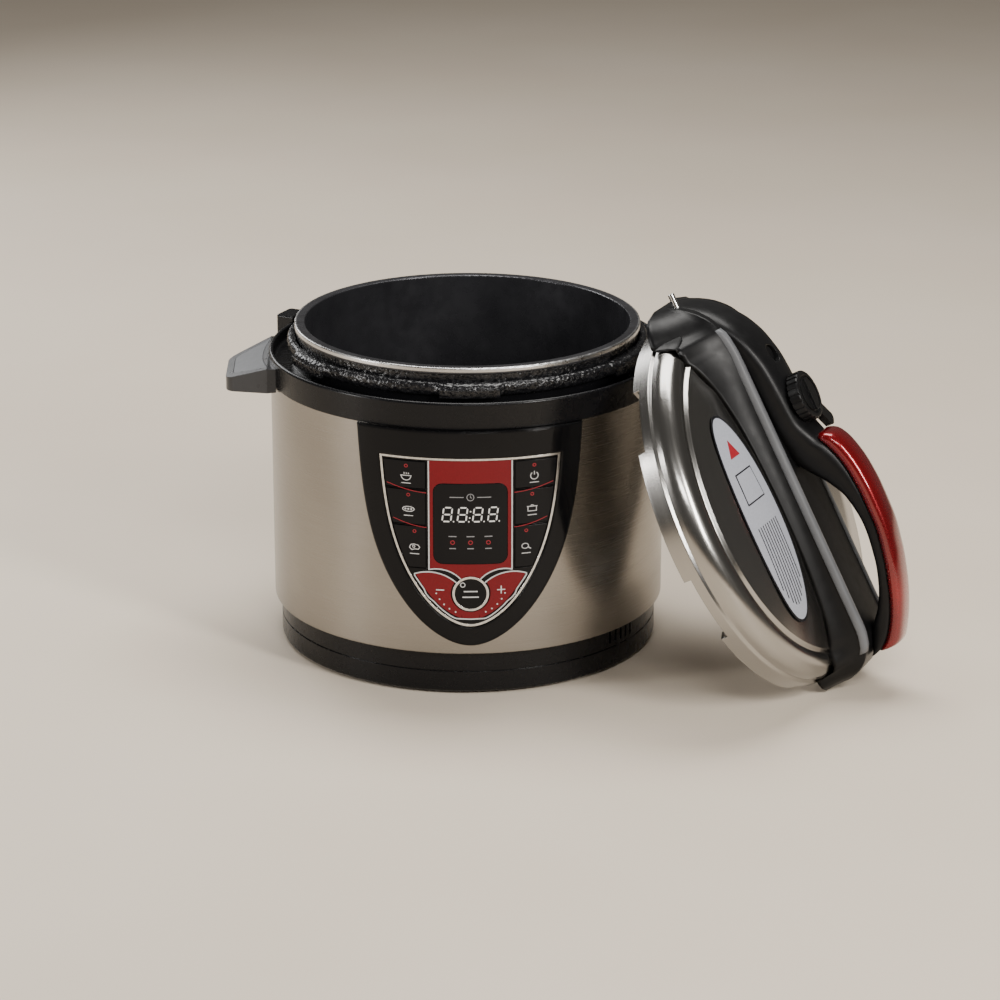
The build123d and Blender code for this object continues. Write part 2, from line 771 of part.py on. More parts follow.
def dome(inset=0.0):
    """Solid under the lid's outer surface, drawn in by inset."""
    skirt_r = lid_r - inset
    band_r = lid_band_r - inset
    points = [
        (0, -1.0 if inset else 0.0),
        (skirt_r, -1.0 if inset else 0.0),
        (skirt_r, lid_skirt_h - inset / 2),
        (band_r, lid_skirt_h + 1.6 - inset / 2),
        (band_r, lid_shoulder_h - inset),
        (lid_shoulder_r - inset / 2, lid_shoulder_h - inset),
        (lid_shoulder_r - 2.0 - inset / 2, lid_shoulder_h + 2.4 - inset),
        (90, 36.5 - inset),
        (45, 40.5 - inset),
        (0, lid_dome_h - inset),
    ]
    return turned(points, {4: 12.0 - inset, 7: 60.0, 8: 60.0, 2: 0.8, 5: 1.0})


def lid_shell():
    """Steel lid: domed top, skirt, and inward bayonet teeth."""
    body = dome() - dome(lid_wall)
    pitch = 360 / bay_teeth
    gap_deg = pitch - bay_lid_tooth_deg
    for k in range(bay_teeth):
        mid = lid_tooth_mid_deg + pitch * k
        body -= sector(lid_r + 5, -2, lid_notch_h, mid + pitch / 2, gap_deg)
        tooth = tube(lid_r - lid_wall + 0.2, lid_r - lid_tooth_reach, 0, lid_tooth_t)
        body += tooth & sector(lid_r + 5, -1, 5, mid, bay_lid_tooth_deg)
    body -= Pos(knob_u, 0, 0) * disc(5.2, 0, 60)
    body -= Pos(float_u, 0, 0) * disc(4.2, 0, 60)
    body -= disc(3.1, 0, 60)
    for x in cover_screw_us:
        body -= Pos(x, 0, 0) * disc(2.2, 0, 60)
    return body


cover_screw_us = (-104.0, 98.0)


def cover_tier(inset=0.0):
    """Long low tier of the cover, with an end that laps over each side of the lid."""
    length = cover_back_u - cover_front_u - 2 * inset
    mid = (cover_back_u + cover_front_u) / 2
    plan = Pos(mid, 0) * RectangleRounded(length, 2 * (cover_end_half_w - inset), 30 - inset)
    block = extrude(plan, 80)
    low = 12.0 if not inset else 0.0
    front = cover_front_u + inset
    back = cover_back_u - inset
    top = cover_h - inset
    side = Polyline(
        (front, low), (front + 3, 22), (front + 15, 42), (front + 31, top),
        (back - 29, top), (back - 14, 48 - inset), (back - 2, 30), (back, 24), (back - 6, low),
        close=True,
    )
    side = extrude(Plane.XZ * make_face(side), 60, both=True)
    top_w = cover_top_half_w - inset
    foot_w = cover_foot_half_w - inset
    end_w = cover_end_half_w - inset
    cross = Polyline(
        (-end_w, -5), (-end_w, 23), (-foot_w, 37), (-top_w, top),
        (top_w, top), (foot_w, 37), (end_w, 23), (end_w, -5),
        close=True,
    )
    cross = extrude(Plane.YZ * make_face(cross), 200, both=True)
    return block & side & cross


ridge_points = (
    (-141.5, 12.0), (-137.0, 29.0), (-126.0, 47.0), (-111.0, 60.0), (-100.0, 62.5),
    (-90.0, 69.5), (-66.0, 71.0), (-34.0, 71.0), (-12.0, 66.0), (-1.0, 56.0), (0.0, 46.0),
)


def ridge(inset=0.0):
    """Raised spine of the cover that carries the valves and the arch's root."""
    points = [(u + (inset if u < -50 else -inset), h - inset) for u, h in ridge_points]
    points = [(points[0][0], 0.0)] + points + [(points[-1][0], 0.0)]
    body = extrude(Plane.XZ * make_face(Polyline(*points, close=True)), ridge_half_w - inset, both=True)
    if inset:
        return body
    body -= disc(500, -1, 12.0)
    tops = body.faces().filter_by(lambda f: f.normal_at().Z > 0.3 and f.center().Z > 50)
    rims = [e for f in tops for e in f.edges() if abs(abs(e.center().Y) - ridge_half_w) < 0.01]
    return fillet(rims, 4.0)


def lid_cover():
    """Hollow plastic cover over the steel lid."""
    body = cover_tier() + ridge()
    body -= cover_tier(cover_wall)
    body -= ridge(cover_wall) - disc(500, -1, 30)
    body += [Pos(x, 0, 0) * disc(5.0, 30, 52) for x in cover_screw_us]
    body += Pos(knob_u, 0, 0) * tube(9, 6.2, 48, ridge_h - 1)
    body -= dome(-0.15)
    body -= disc(lid_r + 0.15, -5, 20)
    for side in (-1, 1):
        body -= trim_bar(side, 0.1)
    body -= Pos(knob_u, 0, 0) * disc(6.2, 30, 90)
    body -= Pos(float_u, 0, 0) * disc(float_r + 0.4, 30, 90)
    for x in cover_screw_us:
        body -= Pos(x, 0, 0) * disc(1.5, 30, 50)
    body -= pin_place() * Cylinder(2.3, 12)
    solids = body.solids()
    return max(solids, key=lambda s: s.volume)


def trim_bar(side, grow=0.0):
    """Straight satin stripe along one top edge of the cover."""
    bar = Pos((cover_front_u + cover_back_u) / 2 + 9, side * (cover_top_half_w - 2.6), cover_h) * Box(
        cover_back_u - cover_front_u - 50 + grow, 3.6 + 2 * grow, 1.6 + 2 * grow
    )
    return bar


arch_top = (
    (-30.0, 70.0), (-16.0, 82.0), (8.0, 88.0), (38.0, 89.0),
    (72.0, 83.5), (100.0, 72.0), (120.0, 54.3),
)
arch_low = (
    (-6.0, 64.5), (14.0, 75.0), (40.0, 79.0),
    (70.0, 75.0), (96.0, 63.5), (104.0, 54.3),
)
grip_top = (
    (-24.0, 84.0), (-12.0, 93.0), (10.0, 97.5), (40.0, 98.0),
    (75.0, 92.0), (104.0, 80.0), (127.0, 61.0),
)


def arch_blank(top, low, half_w):
    """Flat-sided band between an upper and a lower curve."""
    upper = Spline(*top)
    lower = Spline(*low)
    ends = [Line(top[0], low[0]), Line(low[-1], top[-1])]
    face = make_face([upper, ends[1], lower, ends[0]])
    return extrude(Plane.XZ * face, half_w, both=True)


def handle_arch():
    """Black arch that rises from the cover's spine and comes down at its back end."""
    body = arch_blank(arch_top, arch_low, arch_half_w)
    body -= cover_tier()
    body -= ridge()
    solids = body.solids()
    return max(solids, key=lambda s: s.volume)


def handle_grip():
    """Red metallic grip that caps the arch."""
    low = [(u, h - 3.0) for u, h in arch_top[1:]]
    body = arch_blank(grip_top, low, grip_half_w)
    rims = [
        e for e in body.edges()
        if abs(abs(e.center().Y) - grip_half_w) < 0.01 and e.length > 100 and e.center().Z > 84
    ]
    rims = sorted(rims, key=lambda e: -e.center().Z)[:2]
    body = fillet(rims, 4.0)
    body -= arch_blank(arch_top, arch_low, arch_half_w + 0.05)
    body -= cover_tier()
    body -= ridge()
    return max(body.solids(), key=lambda s: s.volume)


def warning_label():
    """Plain oval label on the dome beside the cover."""
    oval = Pos(8, -64) * Rot(0, 0, -2) * Ellipse(80, 26)
    keep = Pos(0, -cover_foot_half_w - 100 - 2.5) * Rectangle(400, 200)
    prism = extrude(oval & keep, 80)
    return prism & (dome(-0.35) - dome(-0.02))


def steam_pipe():
    """Steam outlet pipe, clamped through the dome."""
    pipe = tube(4.8, 2.6, 30, ridge_h + 1)
    nut = Pos(0, 0, 43) * extrude(RegularPolygon(9, 6), 4) - disc(4.8, 30, 60)
    return Pos(knob_u, 0, 0) * (pipe + nut)


def steam_knob():
    """Round ribbed steam-release knob with a pointer tab."""
    low = ridge_h + 1.2
    cap = disc(knob_r, low, low + knob_h)
    cap = fillet(cap.edges().group_by(Axis.Z)[-1], 1.6)
    for piece in around(Pos(knob_r, 0, low + knob_h / 2) * Box(1.6, 1.6, 20), 24):
        cap -= piece
    cap -= tube(knob_r - 3.5, knob_r - 5.5, low + knob_h - 1.2, low + knob_h + 1)
    rib = Box(2 * (knob_r - 6), 5, 3, align=(Align.CENTER, Align.CENTER, Align.MIN))
    rib = Pos(0, 0, low + knob_h - 1.4) * rib
    cap += rib
    tab = Box(22, 9, 5.0, align=(Align.MIN, Align.CENTER, Align.MIN))
    tab = fillet(tab.edges().filter_by(Axis.Z).sort_by(Axis.X)[-2:], 3.5)
    cap += Rot(0, 0, knob_point_deg) * Pos(knob_r - 5, 0, low + 1.5) * tab
    socket = disc(4.9, low - 5, low + 4)
    stem_ring = tube(6.0, 4.9, ridge_h - 8, low)
    return Pos(knob_u, 0, 0) * (cap + stem_ring - socket)


knob_point_deg = 42.0


def anti_block_cap():
    """Slotted cap over the pipe's inlet, under the dome."""
    shell = disc(13, 24, 36)
    shell -= disc(11.5, 25.5, 40)
    shell -= disc(5.0, 20, 40)
    hub = tube(6.6, 4.85, 25.5, 36)
    for piece in around(Pos(12, 0, 31) * Box(6, 2.4, 7), 10):
        shell -= piece
    return Pos(knob_u, 0, 0) * (shell + hub + tube(11.6, 5.0, 24, 25.5))


float_seal_t = 2.0
float_seal_z = 34.4 - float_travel - float_seal_t - 0.2   # closes against the dome's underside


def float_valve():
    """Float pin whose head shows in the cover when there is pressure."""
    head = disc(float_r, 59, 66)
    head = fillet(head.edges().group_by(Axis.Z)[-1], 1.0)
    pin = disc(2.6, float_seal_z, 59)
    foot = disc(5.5, float_seal_z - 2, float_seal_z)
    return Pos(float_u, 0, 0) * (head + pin + foot)


def float_seal():
    """Silicone washer under the dome on the float pin."""
    return Pos(float_u, 0, 0) * tube(5.8, 2.65, float_seal_z + 0.02, float_seal_z + float_seal_t)


seal_top = lid_shoulder_h - lid_wall - fit_gap


def sealing_ring():
    """Silicone gasket that meets the inner pot's rim."""
    low = seal_top - 5.0
    outer = lid_shoulder_r + 4.5
    points = [
        (outer, low + 1.0), (outer, seal_top), (outer - 3.0, seal_top), (outer - 3.0, low + 2.4),
        (outer - 9.0, low + 2.4), (outer - 9.0, seal_top - 0.8), (outer - 12.0, seal_top - 0.8),
        (outer - 12.0, low), (outer - 1.0, low),
    ]
    return turned(points)


def seal_rack():
    """Pressed plate that holds the gasket in the lid."""
    rack_r = lid_shoulder_r + 4.5 - 12.0 - 0.3
    top = seal_top - 2.0
    body = disc(rack_r, top - 1.0, top)
    body += tube(rack_r, rack_r - 1.0, top - 3.5, top - 1.0)
    body -= Pos(knob_u, 0, 0) * disc(14.0, 0, 60)
    body -= Pos(float_u, 0, 0) * disc(7.0, 0, 60)
    body -= disc(4.2, 0, 60)
    return body


def rack_stud():
    """Stud through the middle of the lid that carries the rack."""
    shank = disc(3.0, seal_top - 6.0, lid_dome_h + 2)
    head = disc(7.0, lid_dome_h + 0.05, lid_dome_h + 3)
    shoulder = disc(6.0, seal_top - 1.95, lid_dome_h - lid_wall - 0.6)
    return shank + head + shoulder


def rack_nut():
    """Acorn nut under the rack."""
    low = seal_top - 11.0
    high = seal_top - 3.05
    nut = Pos(0, 0, low + 3) * extrude(RegularPolygon(7, 6), high - low - 3)
    cap = disc(6.0, low, low + 3)
    cap = fillet(cap.edges().group_by(Axis.Z)[0], 2.5)
    return nut + cap - disc(3.05, seal_top - 6.1, high + 1)


def pin_place():
    """Where the locating pin sits in the cover's valve-side end."""
    return Pos(cover_front_u, 0, 24) * Rot(0, 90, 0) * Pos(0, -12, 0)


def lock_pin():
    """Bright locating pin in the cover's valve-side end."""
    pin = Cylinder(2.2, 12)
    pin = fillet(pin.edges().group_by(Axis.Z)[0], 0.8)
    return pin_place() * pin


def cover_screws():
    """Screws from inside the dome into the cover."""
    parts = []
    for x in cover_screw_us:
        low = 30.0
        shank = disc(1.45, low, 48)
        head = disc(4.0, low - 2.4, low)
        parts.append(Pos(x, 0, 0) * (shank + head))
    return joined(parts)


# ==== Write every piece =======================================================
base_parts = {
    "base_bottom": base_bottom,
    "rubber_feet": feet,
    "steel_shell": steel_shell,
    "collar": collar,
    "lid_switch_housing": lid_switch_housing,
    "outer_pot": outer_pot,
    "heating_plate": heating_plate,
    "heater_terminals": heater_terminals,
    "temperature_sensor": temperature_sensor,
    "sensor_spring": sensor_spring,
    "sensor_bracket": sensor_bracket,
    "inner_pot": inner_pot,
    "power_board": power_board,
    "pressure_switch": pressure_switch,
    "thermal_fuse": thermal_fuse,
    "power_inlet": power_inlet,
    "inlet_pins": inlet_pins,
    "base_screws": base_screws,
    "panel_bezel": panel_bezel,
    "panel_face": panel_face,
    "face_trim": face_trim,
    "display_window": display_window,
    "display_module": display_module,
    "control_board": control_board,
    "key_switches": key_switches,
    "select_key": select_key,
    "select_ring": select_ring,
    "cup_bracket": cup_bracket,
    "condensate_cup": condensate_cup,
}
lid_parts = {
    "lid_shell": lid_shell,
    "lid_cover": lid_cover,
    "handle_arch": handle_arch,
    "handle_grip": handle_grip,
    "warning_label": warning_label,
    "steam_pipe": steam_pipe,
    "steam_knob": steam_knob,
    "anti_block_cap": anti_block_cap,
    "float_valve": float_valve,
    "float_seal": float_seal,
    "sealing_ring": sealing_ring,
    "seal_rack": seal_rack,
    "rack_stud": rack_stud,
    "rack_nut": rack_nut,
    "lock_pin": lock_pin,
    "cover_screws": cover_screws,
}

for name, make in base_parts.items():
    save(make(), name)

for name, deg in (("right", 0), ("left", 180)):
    save(Rot(0, 0, deg) * side_handle(), f"{name}_handle")
    save(Rot(0, 0, deg) * handle_top_plate(), f"{name}_handle_plate")
save(joined(handle_screws(0) + handle_screws(180)), "handle_screws")

for side, side_name in ((-1, "left"), (1, "right")):
    for index, row in enumerate(("top", "middle", "bottom")):
        save(side_key(side, index), f"{side_name}_{row}_key")
save(adjust_key(-1), "minus_key")
save(adjust_key(1), "plus_key")

for name, make in lid_parts.items():
    save(lid_place * make(), name)
save(joined([lid_place * trim_bar(side) for side in (-1, 1)]), "trim_stripes")
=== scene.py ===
import json
import math

import bmesh
import bpy
import mathutils.noise
from mathutils import Matrix, Vector


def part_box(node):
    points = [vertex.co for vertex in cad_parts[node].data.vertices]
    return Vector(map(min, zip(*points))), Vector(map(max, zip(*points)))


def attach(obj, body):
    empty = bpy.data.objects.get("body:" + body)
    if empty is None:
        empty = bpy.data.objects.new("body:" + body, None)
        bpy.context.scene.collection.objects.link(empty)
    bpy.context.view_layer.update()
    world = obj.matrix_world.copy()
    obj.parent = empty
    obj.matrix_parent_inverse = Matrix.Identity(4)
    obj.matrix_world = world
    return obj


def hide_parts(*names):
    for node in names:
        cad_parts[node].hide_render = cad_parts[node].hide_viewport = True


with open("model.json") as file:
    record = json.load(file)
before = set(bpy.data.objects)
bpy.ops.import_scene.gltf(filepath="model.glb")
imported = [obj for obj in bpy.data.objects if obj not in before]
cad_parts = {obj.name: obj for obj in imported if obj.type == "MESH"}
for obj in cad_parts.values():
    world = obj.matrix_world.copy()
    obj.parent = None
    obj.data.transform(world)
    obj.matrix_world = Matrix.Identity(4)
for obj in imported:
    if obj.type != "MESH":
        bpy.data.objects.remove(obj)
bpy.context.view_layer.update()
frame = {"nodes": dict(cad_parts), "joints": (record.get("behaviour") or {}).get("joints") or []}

MM = 0.001
nodes = frame["nodes"]
joints = {j["name"]: j for j in frame["joints"]}


# ---- Places read from the frame --------------------------------------------
def low(node):
    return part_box(node)[0]


def high(node):
    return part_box(node)[1]


lid_up = Vector(joints["lid_lift"]["axis"]).normalized()
lid_along = Vector((lid_up.x, lid_up.y, 0)).normalized() * lid_up.z - Vector((0, 0, lid_up.xy.length))
lid_along.normalize()
lid_roll = math.radians(-2.0)
lid_side = lid_up.cross(lid_along)
lid_along, lid_side = (
    lid_along * math.cos(lid_roll) + lid_side * math.sin(lid_roll),
    lid_side * math.cos(lid_roll) - lid_along * math.sin(lid_roll),
)
KNOB_U, KNOB_H = -51 * MM, 76 * MM
lid_centre = Vector(joints["steam_knob_turn"]["pos_m"]) - lid_along * KNOB_U - lid_up * KNOB_H
lid_frame = Matrix((
    (lid_along.x, lid_side.x, lid_up.x, lid_centre.x),
    (lid_along.y, lid_side.y, lid_up.y, lid_centre.y),
    (lid_along.z, lid_side.z, lid_up.z, lid_centre.z),
    (0, 0, 0, 1),
))


# ---- Material building blocks -----------------------------------------------
class Shader:
    """A material under construction, with short calls for its nodes."""

    def __init__(self, name):
        self.mat = bpy.data.materials.new(name)
        self.mat.use_nodes = True
        self.tree = self.mat.node_tree
        self.tree.nodes.clear()
        self.out = self.node("ShaderNodeOutputMaterial")
        self.bsdf = self.node("ShaderNodeBsdfPrincipled")
        self.join(self.bsdf.outputs[0], self.out.inputs[0])
        self.place = self.node("ShaderNodeTexCoord").outputs["Object"]

    def node(self, kind, **settings):
        made = self.tree.nodes.new(kind)
        for key, value in settings.items():
            setattr(made, key, value)
        return made

    def join(self, a, b):
        self.tree.links.new(a, b)

    def put(self, socket, value):
        if isinstance(value, bpy.types.NodeSocket):
            self.join(value, socket)
        else:
            socket.default_value = value

    def set(self, **values):
        """Set the shader's own sockets: metallic=1.0, specular_ior_level=0.5 and so on."""
        for key, value in values.items():
            name = {"ior": "IOR", "specular": "Specular IOR Level"}.get(key, key.replace("_", " ").title())
            self.put(self.bsdf.inputs[name], value)
        return self

    def math(self, operation, a, b=0.0, clamp=False):
        made = self.node("ShaderNodeMath", operation=operation, use_clamp=clamp)
        self.put(made.inputs[0], a)
        self.put(made.inputs[1], b)
        return made.outputs[0]

    def vector(self, operation, a, b=(0, 0, 0), scale=None):
        made = self.node("ShaderNodeVectorMath", operation=operation)
        self.put(made.inputs[0], a)
        self.put(made.inputs[1], b)
        if scale is not None:
            self.put(made.inputs["Scale"], scale)
        return made.outputs["Value"] if operation in ("DOT_PRODUCT", "LENGTH") else made.outputs[0]

    def noise(self, scale, detail=2.0, roughness=0.5, vector=None, distortion=0.0):
        made = self.node("ShaderNodeTexNoise")
        self.join(vector or self.place, made.inputs["Vector"])
        made.inputs["Scale"].default_value = scale
        made.inputs["Detail"].default_value = detail
        made.inputs["Roughness"].default_value = roughness
        made.inputs["Distortion"].default_value = distortion
        return made.outputs[0]

    def cells(self, scale, vector=None, feature="F1", randomness=1.0):
        made = self.node("ShaderNodeTexVoronoi", feature=feature)
        self.join(vector or self.place, made.inputs["Vector"])
        made.inputs["Scale"].default_value = scale
        made.inputs["Randomness"].default_value = randomness
        return made.outputs[0]

    def spread(self, value, from_low, from_high, to_low, to_high):
        made = self.node("ShaderNodeMapRange")
        self.join(value, made.inputs[0])
        for index, number in enumerate((from_low, from_high, to_low, to_high), 1):
            made.inputs[index].default_value = number
        return made.outputs[0]

    def mix(self, factor, a, b):
        made = self.node("ShaderNodeMix", data_type="RGBA")
        self.put(made.inputs[0], factor)
        self.put(made.inputs[6], a)
        self.put(made.inputs[7], b)
        return made.outputs[2]

    def bump(self, height, strength, distance, normal=None):
        made = self.node("ShaderNodeBump")
        made.inputs["Strength"].default_value = strength
        made.inputs["Distance"].default_value = distance
        self.join(height, made.inputs["Height"])
        if normal is not None:
            self.join(normal, made.inputs["Normal"])
        return made.outputs[0]

    def soft_edges(self, radius):
        made = self.node("ShaderNodeBevel", samples=4)
        made.inputs["Radius"].default_value = radius
        return made.outputs[0]

    def edge_mask(self, rounded):
        """1 on sharp edges, 0 on flat stretches."""
        flat = self.node("ShaderNodeNewGeometry").outputs["Normal"]
        same = self.vector("DOT_PRODUCT", rounded, flat)
        return self.spread(same, 0.99, 0.75, 0.0, 1.0)


def rgb(r, g, b):
    return (r, g, b, 1.0)


def about_axis(shader, centre, axis, start):
    """Angle, radius and height of the shaded point about an axis, as three sockets."""
    arm = shader.vector("SUBTRACT", shader.place, tuple(centre))
    height = shader.vector("DOT_PRODUCT", arm, tuple(axis))
    x = shader.vector("DOT_PRODUCT", arm, tuple(start))
    y = shader.vector("DOT_PRODUCT", arm, tuple(axis.cross(start)))
    angle = shader.math("ARCTAN2", y, x)
    squares = shader.math("ADD", shader.math("MULTIPLY", x, x), shader.math("MULTIPLY", y, y))
    radius = shader.math("SQRT", squares)
    return angle, radius, height


def ring_streaks(shader, centre, axis, start, along, across):
    """Noise drawn out round an axis, as brushing or spinning leaves it."""
    angle, radius, height = about_axis(shader, centre, axis, start)
    spot = shader.node("ShaderNodeCombineXYZ")
    shader.join(shader.math("MULTIPLY", angle, along), spot.inputs[0])
    shader.join(shader.math("MULTIPLY", radius, across), spot.inputs[1])
    shader.join(shader.math("MULTIPLY", height, across), spot.inputs[2])
    return spot.outputs[0]


# ---- Materials ---------------------------------------------------------------
AXIS_Z = Vector((0, 0, 1))
AXIS_X = Vector((1, 0, 0))
base_centre = Vector((0, 0, 0))


def moulded(name, colour, rough, grain=1.0, edge=0.5 * MM, wear=0.1, coat=0.0):
    """Moulded plastic: fine grain, slight cloudiness and paler worn edges."""
    s = Shader(name)
    rounded = s.soft_edges(edge)
    cloud = s.noise(35, 3)
    fine = s.noise(2600, 2)
    pale = tuple(min(1.0, c * 1.9 + 0.012) for c in colour[:3]) + (1.0,)
    dim = tuple(c * 0.78 for c in colour[:3]) + (1.0,)
    base = s.mix(s.spread(cloud, 0.3, 0.7, 0.0, 1.0), dim, colour)
    worn = s.math("MULTIPLY", s.edge_mask(rounded), s.spread(s.noise(260, 3), 0.4, 0.65, 0.0, wear))
    s.set(base_color=s.mix(worn, base, pale))
    s.set(roughness=s.spread(s.noise(140, 4), 0.25, 0.75, rough * 0.85, rough * 1.15))
    s.set(normal=s.bump(fine, 0.35 * grain, 0.03 * MM, rounded))
    s.bsdf.inputs["Coat Weight"].default_value = coat
    s.bsdf.inputs["Coat Roughness"].default_value = 0.06
    s.set(specular=0.24)
    return s.mat


def gloss_black(name, rough=0.1, colour=rgb(0.003, 0.003, 0.0035), edge=0.7 * MM):
    """Polished black plastic with faint smears."""
    s = Shader(name)
    rounded = s.soft_edges(edge)
    smear = s.noise(48, 4, 0.6, distortion=0.8)
    s.set(base_color=s.mix(s.spread(s.noise(12, 2), 0.3, 0.7, 0.0, 1.0), colour, rgb(0.006, 0.006, 0.007)))
    s.set(specular=0.16, roughness=s.spread(smear, 0.35, 0.75, rough * 0.7, rough * 1.8))
    s.set(normal=s.bump(s.noise(420, 2), 0.05, 0.02 * MM, rounded))
    return s.mat


def brushed(name, centre, axis, start, colour, rough=0.3, along=1.4, across=3200.0, turn=0.0):
    """Steel with fine lines running round an axis."""
    s = Shader(name)
    lines = s.noise(1.0, 3, 0.65, ring_streaks(s, centre, axis, start, along, across))
    broad = s.noise(1.0, 2, 0.5, ring_streaks(s, centre, axis, start, 0.7, across / 9))
    cloud = s.noise(9, 3, 0.6)
    tone = s.math("ADD", s.spread(lines, 0.3, 0.7, -0.09, 0.09), s.spread(broad, 0.3, 0.7, -0.05, 0.05))
    dark = tuple(c * 0.82 for c in colour[:3]) + (1.0,)
    s.set(base_color=s.mix(s.math("ADD", tone, s.spread(cloud, 0.3, 0.7, 0.3, 0.95)), dark, colour))
    s.set(metallic=1.0, anisotropic=0.35, anisotropic_rotation=turn)
    rub = s.spread(lines, 0.25, 0.75, rough * 0.8, rough * 1.25)
    s.set(roughness=rub)
    grooved = s.bump(lines, 0.16, 0.02 * MM, s.soft_edges(0.5 * MM))
    s.set(normal=grooved)
    return s.mat


def hammered():
    """Black enamel over hammered metal, with sparkling bumps."""
    s = Shader("hammered_enamel")
    bumps = s.cells(420, feature="SMOOTH_F1")
    small = s.noise(900, 2)
    tone = s.spread(s.noise(300, 2), 0.4, 0.7, 0.0, 1.0)
    s.set(base_color=s.mix(tone, rgb(0.006, 0.006, 0.007), rgb(0.02, 0.02, 0.022)))
    s.set(roughness=s.spread(small, 0.3, 0.7, 0.12, 0.3), metallic=0.1)
    height = s.math("ADD", bumps, s.math("MULTIPLY", small, 0.25))
    s.set(normal=s.bump(height, 0.9, 0.9 * MM, s.soft_edges(1.0 * MM)))
    return s.mat


def nonstick():
    """Dark satin non-stick coating with fine pale flecks."""
    s = Shader("nonstick_coating")
    fleck = s.spread(s.cells(1500), 0.05, 0.16, 1.0, 0.0)
    cloud = s.spread(s.noise(30, 4), 0.3, 0.7, 0.0, 1.0)
    base = s.mix(cloud, rgb(0.04, 0.04, 0.045), rgb(0.06, 0.06, 0.066))
    coated = s.mix(s.math("MULTIPLY", fleck, 0.25), base, rgb(0.16, 0.16, 0.17))
    radius, height = about_axis(s, base_centre, AXIS_Z, AXIS_X)[1:]
    outside = s.spread(radius, high("inner_pot")[0] - 1.6 * MM, high("inner_pot")[0] - 1.0 * MM, 0.0, 1.0)
    upper = s.spread(height, high("inner_pot")[2] - 3.0 * MM, high("inner_pot")[2] - 2.6 * MM, 0.0, 1.0)
    bare = s.math("MULTIPLY", outside, upper)
    s.set(base_color=s.mix(bare, coated, rgb(0.6, 0.6, 0.6)))
    s.set(roughness=s.spread(s.noise(110, 3), 0.3, 0.7, 0.22, 0.36), metallic=s.spread(bare, 0, 1, 0.6, 1.0))
    s.set(normal=s.bump(s.noise(1900, 2), 0.12, 0.03 * MM, s.soft_edges(0.8 * MM)))
    return s.mat


def cast_metal(name, colour, rough, grain_scale, depth):
    """Plain metal with a cast or plated grain."""
    s = Shader(name)
    grain = s.noise(grain_scale, 4, 0.6)
    dark = tuple(c * 0.7 for c in colour[:3]) + (1.0,)
    s.set(base_color=s.mix(s.spread(grain, 0.35, 0.65, 0.0, 1.0), dark, colour), metallic=1.0)
    s.set(roughness=s.spread(s.noise(90, 3), 0.3, 0.7, rough * 0.8, rough * 1.2))
    s.set(normal=s.bump(grain, 0.3, depth, s.soft_edges(0.3 * MM)))
    return s.mat


def metallic_red(name, rough=0.2, base=rgb(0.27, 0.001, 0.005), deep=rgb(0.1, 0.0005, 0.002)):
    """Lacquered metallic red with fine flakes."""
    s = Shader(name)
    flake = s.cells(5200)
    tint = s.mix(s.spread(s.noise(22, 2), 0.3, 0.7, 0.2, 0.9), deep, base)
    s.set(base_color=s.mix(s.spread(flake, 0.15, 0.45, 0.12, 0.0), tint, rgb(0.6, 0.03, 0.03)))
    s.set(metallic=0.55, roughness=s.spread(s.noise(800, 2), 0.3, 0.7, rough, rough * 1.6))
    s.set(normal=s.bump(flake, 0.06, 0.02 * MM, s.soft_edges(0.8 * MM)))
    s.bsdf.inputs["Coat Weight"].default_value = 1.0
    s.bsdf.inputs["Coat Roughness"].default_value = 0.04
    return s.mat


def printed(name, colour, rough=0.3, glow=0.0):
    """Screen-printed ink with a slightly uneven film."""
    s = Shader(name)
    dim = tuple(c * 0.86 for c in colour[:3]) + (1.0,)
    s.set(base_color=s.mix(s.spread(s.noise(900, 3), 0.3, 0.7, 0.0, 1.0), dim, colour))
    s.set(roughness=s.spread(s.noise(300, 2), 0.3, 0.7, rough * 0.85, rough * 1.2))
    s.set(normal=s.bump(s.noise(2400, 2), 0.08, 0.02 * MM), specular=0.3)
    if glow:
        s.bsdf.inputs["Emission Color"].default_value = colour
        s.bsdf.inputs["Emission Strength"].default_value = glow
    return s.mat


def circuit():
    """Green solder mask with paler tracks."""
    s = Shader("solder_mask")
    tracks = s.spread(s.cells(190, feature="DISTANCE_TO_EDGE", randomness=0.6), 0.03, 0.05, 1.0, 0.0)
    s.set(base_color=s.mix(tracks, rgb(0.01, 0.09, 0.035), rgb(0.03, 0.2, 0.08)))
    s.set(roughness=s.spread(s.noise(200, 2), 0.3, 0.7, 0.25, 0.4))
    s.set(normal=s.bump(tracks, 0.2, 0.05 * MM, s.soft_edges(0.2 * MM)))
    return s.mat


def clear_cup():
    """Smoky clear plastic."""
    s = Shader("clear_plastic")
    smoke = s.spread(s.noise(25, 2), 0.3, 0.7, 0.0, 1.0)
    s.set(base_color=s.mix(smoke, rgb(0.78, 0.8, 0.82), rgb(0.9, 0.91, 0.92)))
    s.set(roughness=s.spread(s.noise(160, 3), 0.3, 0.7, 0.05, 0.16))
    s.bsdf.inputs["Transmission Weight"].default_value = 0.85
    s.bsdf.inputs["IOR"].default_value = 1.5
    s.set(normal=s.bump(s.noise(300, 2), 0.04, 0.05 * MM, s.soft_edges(0.5 * MM)))
    return s.mat


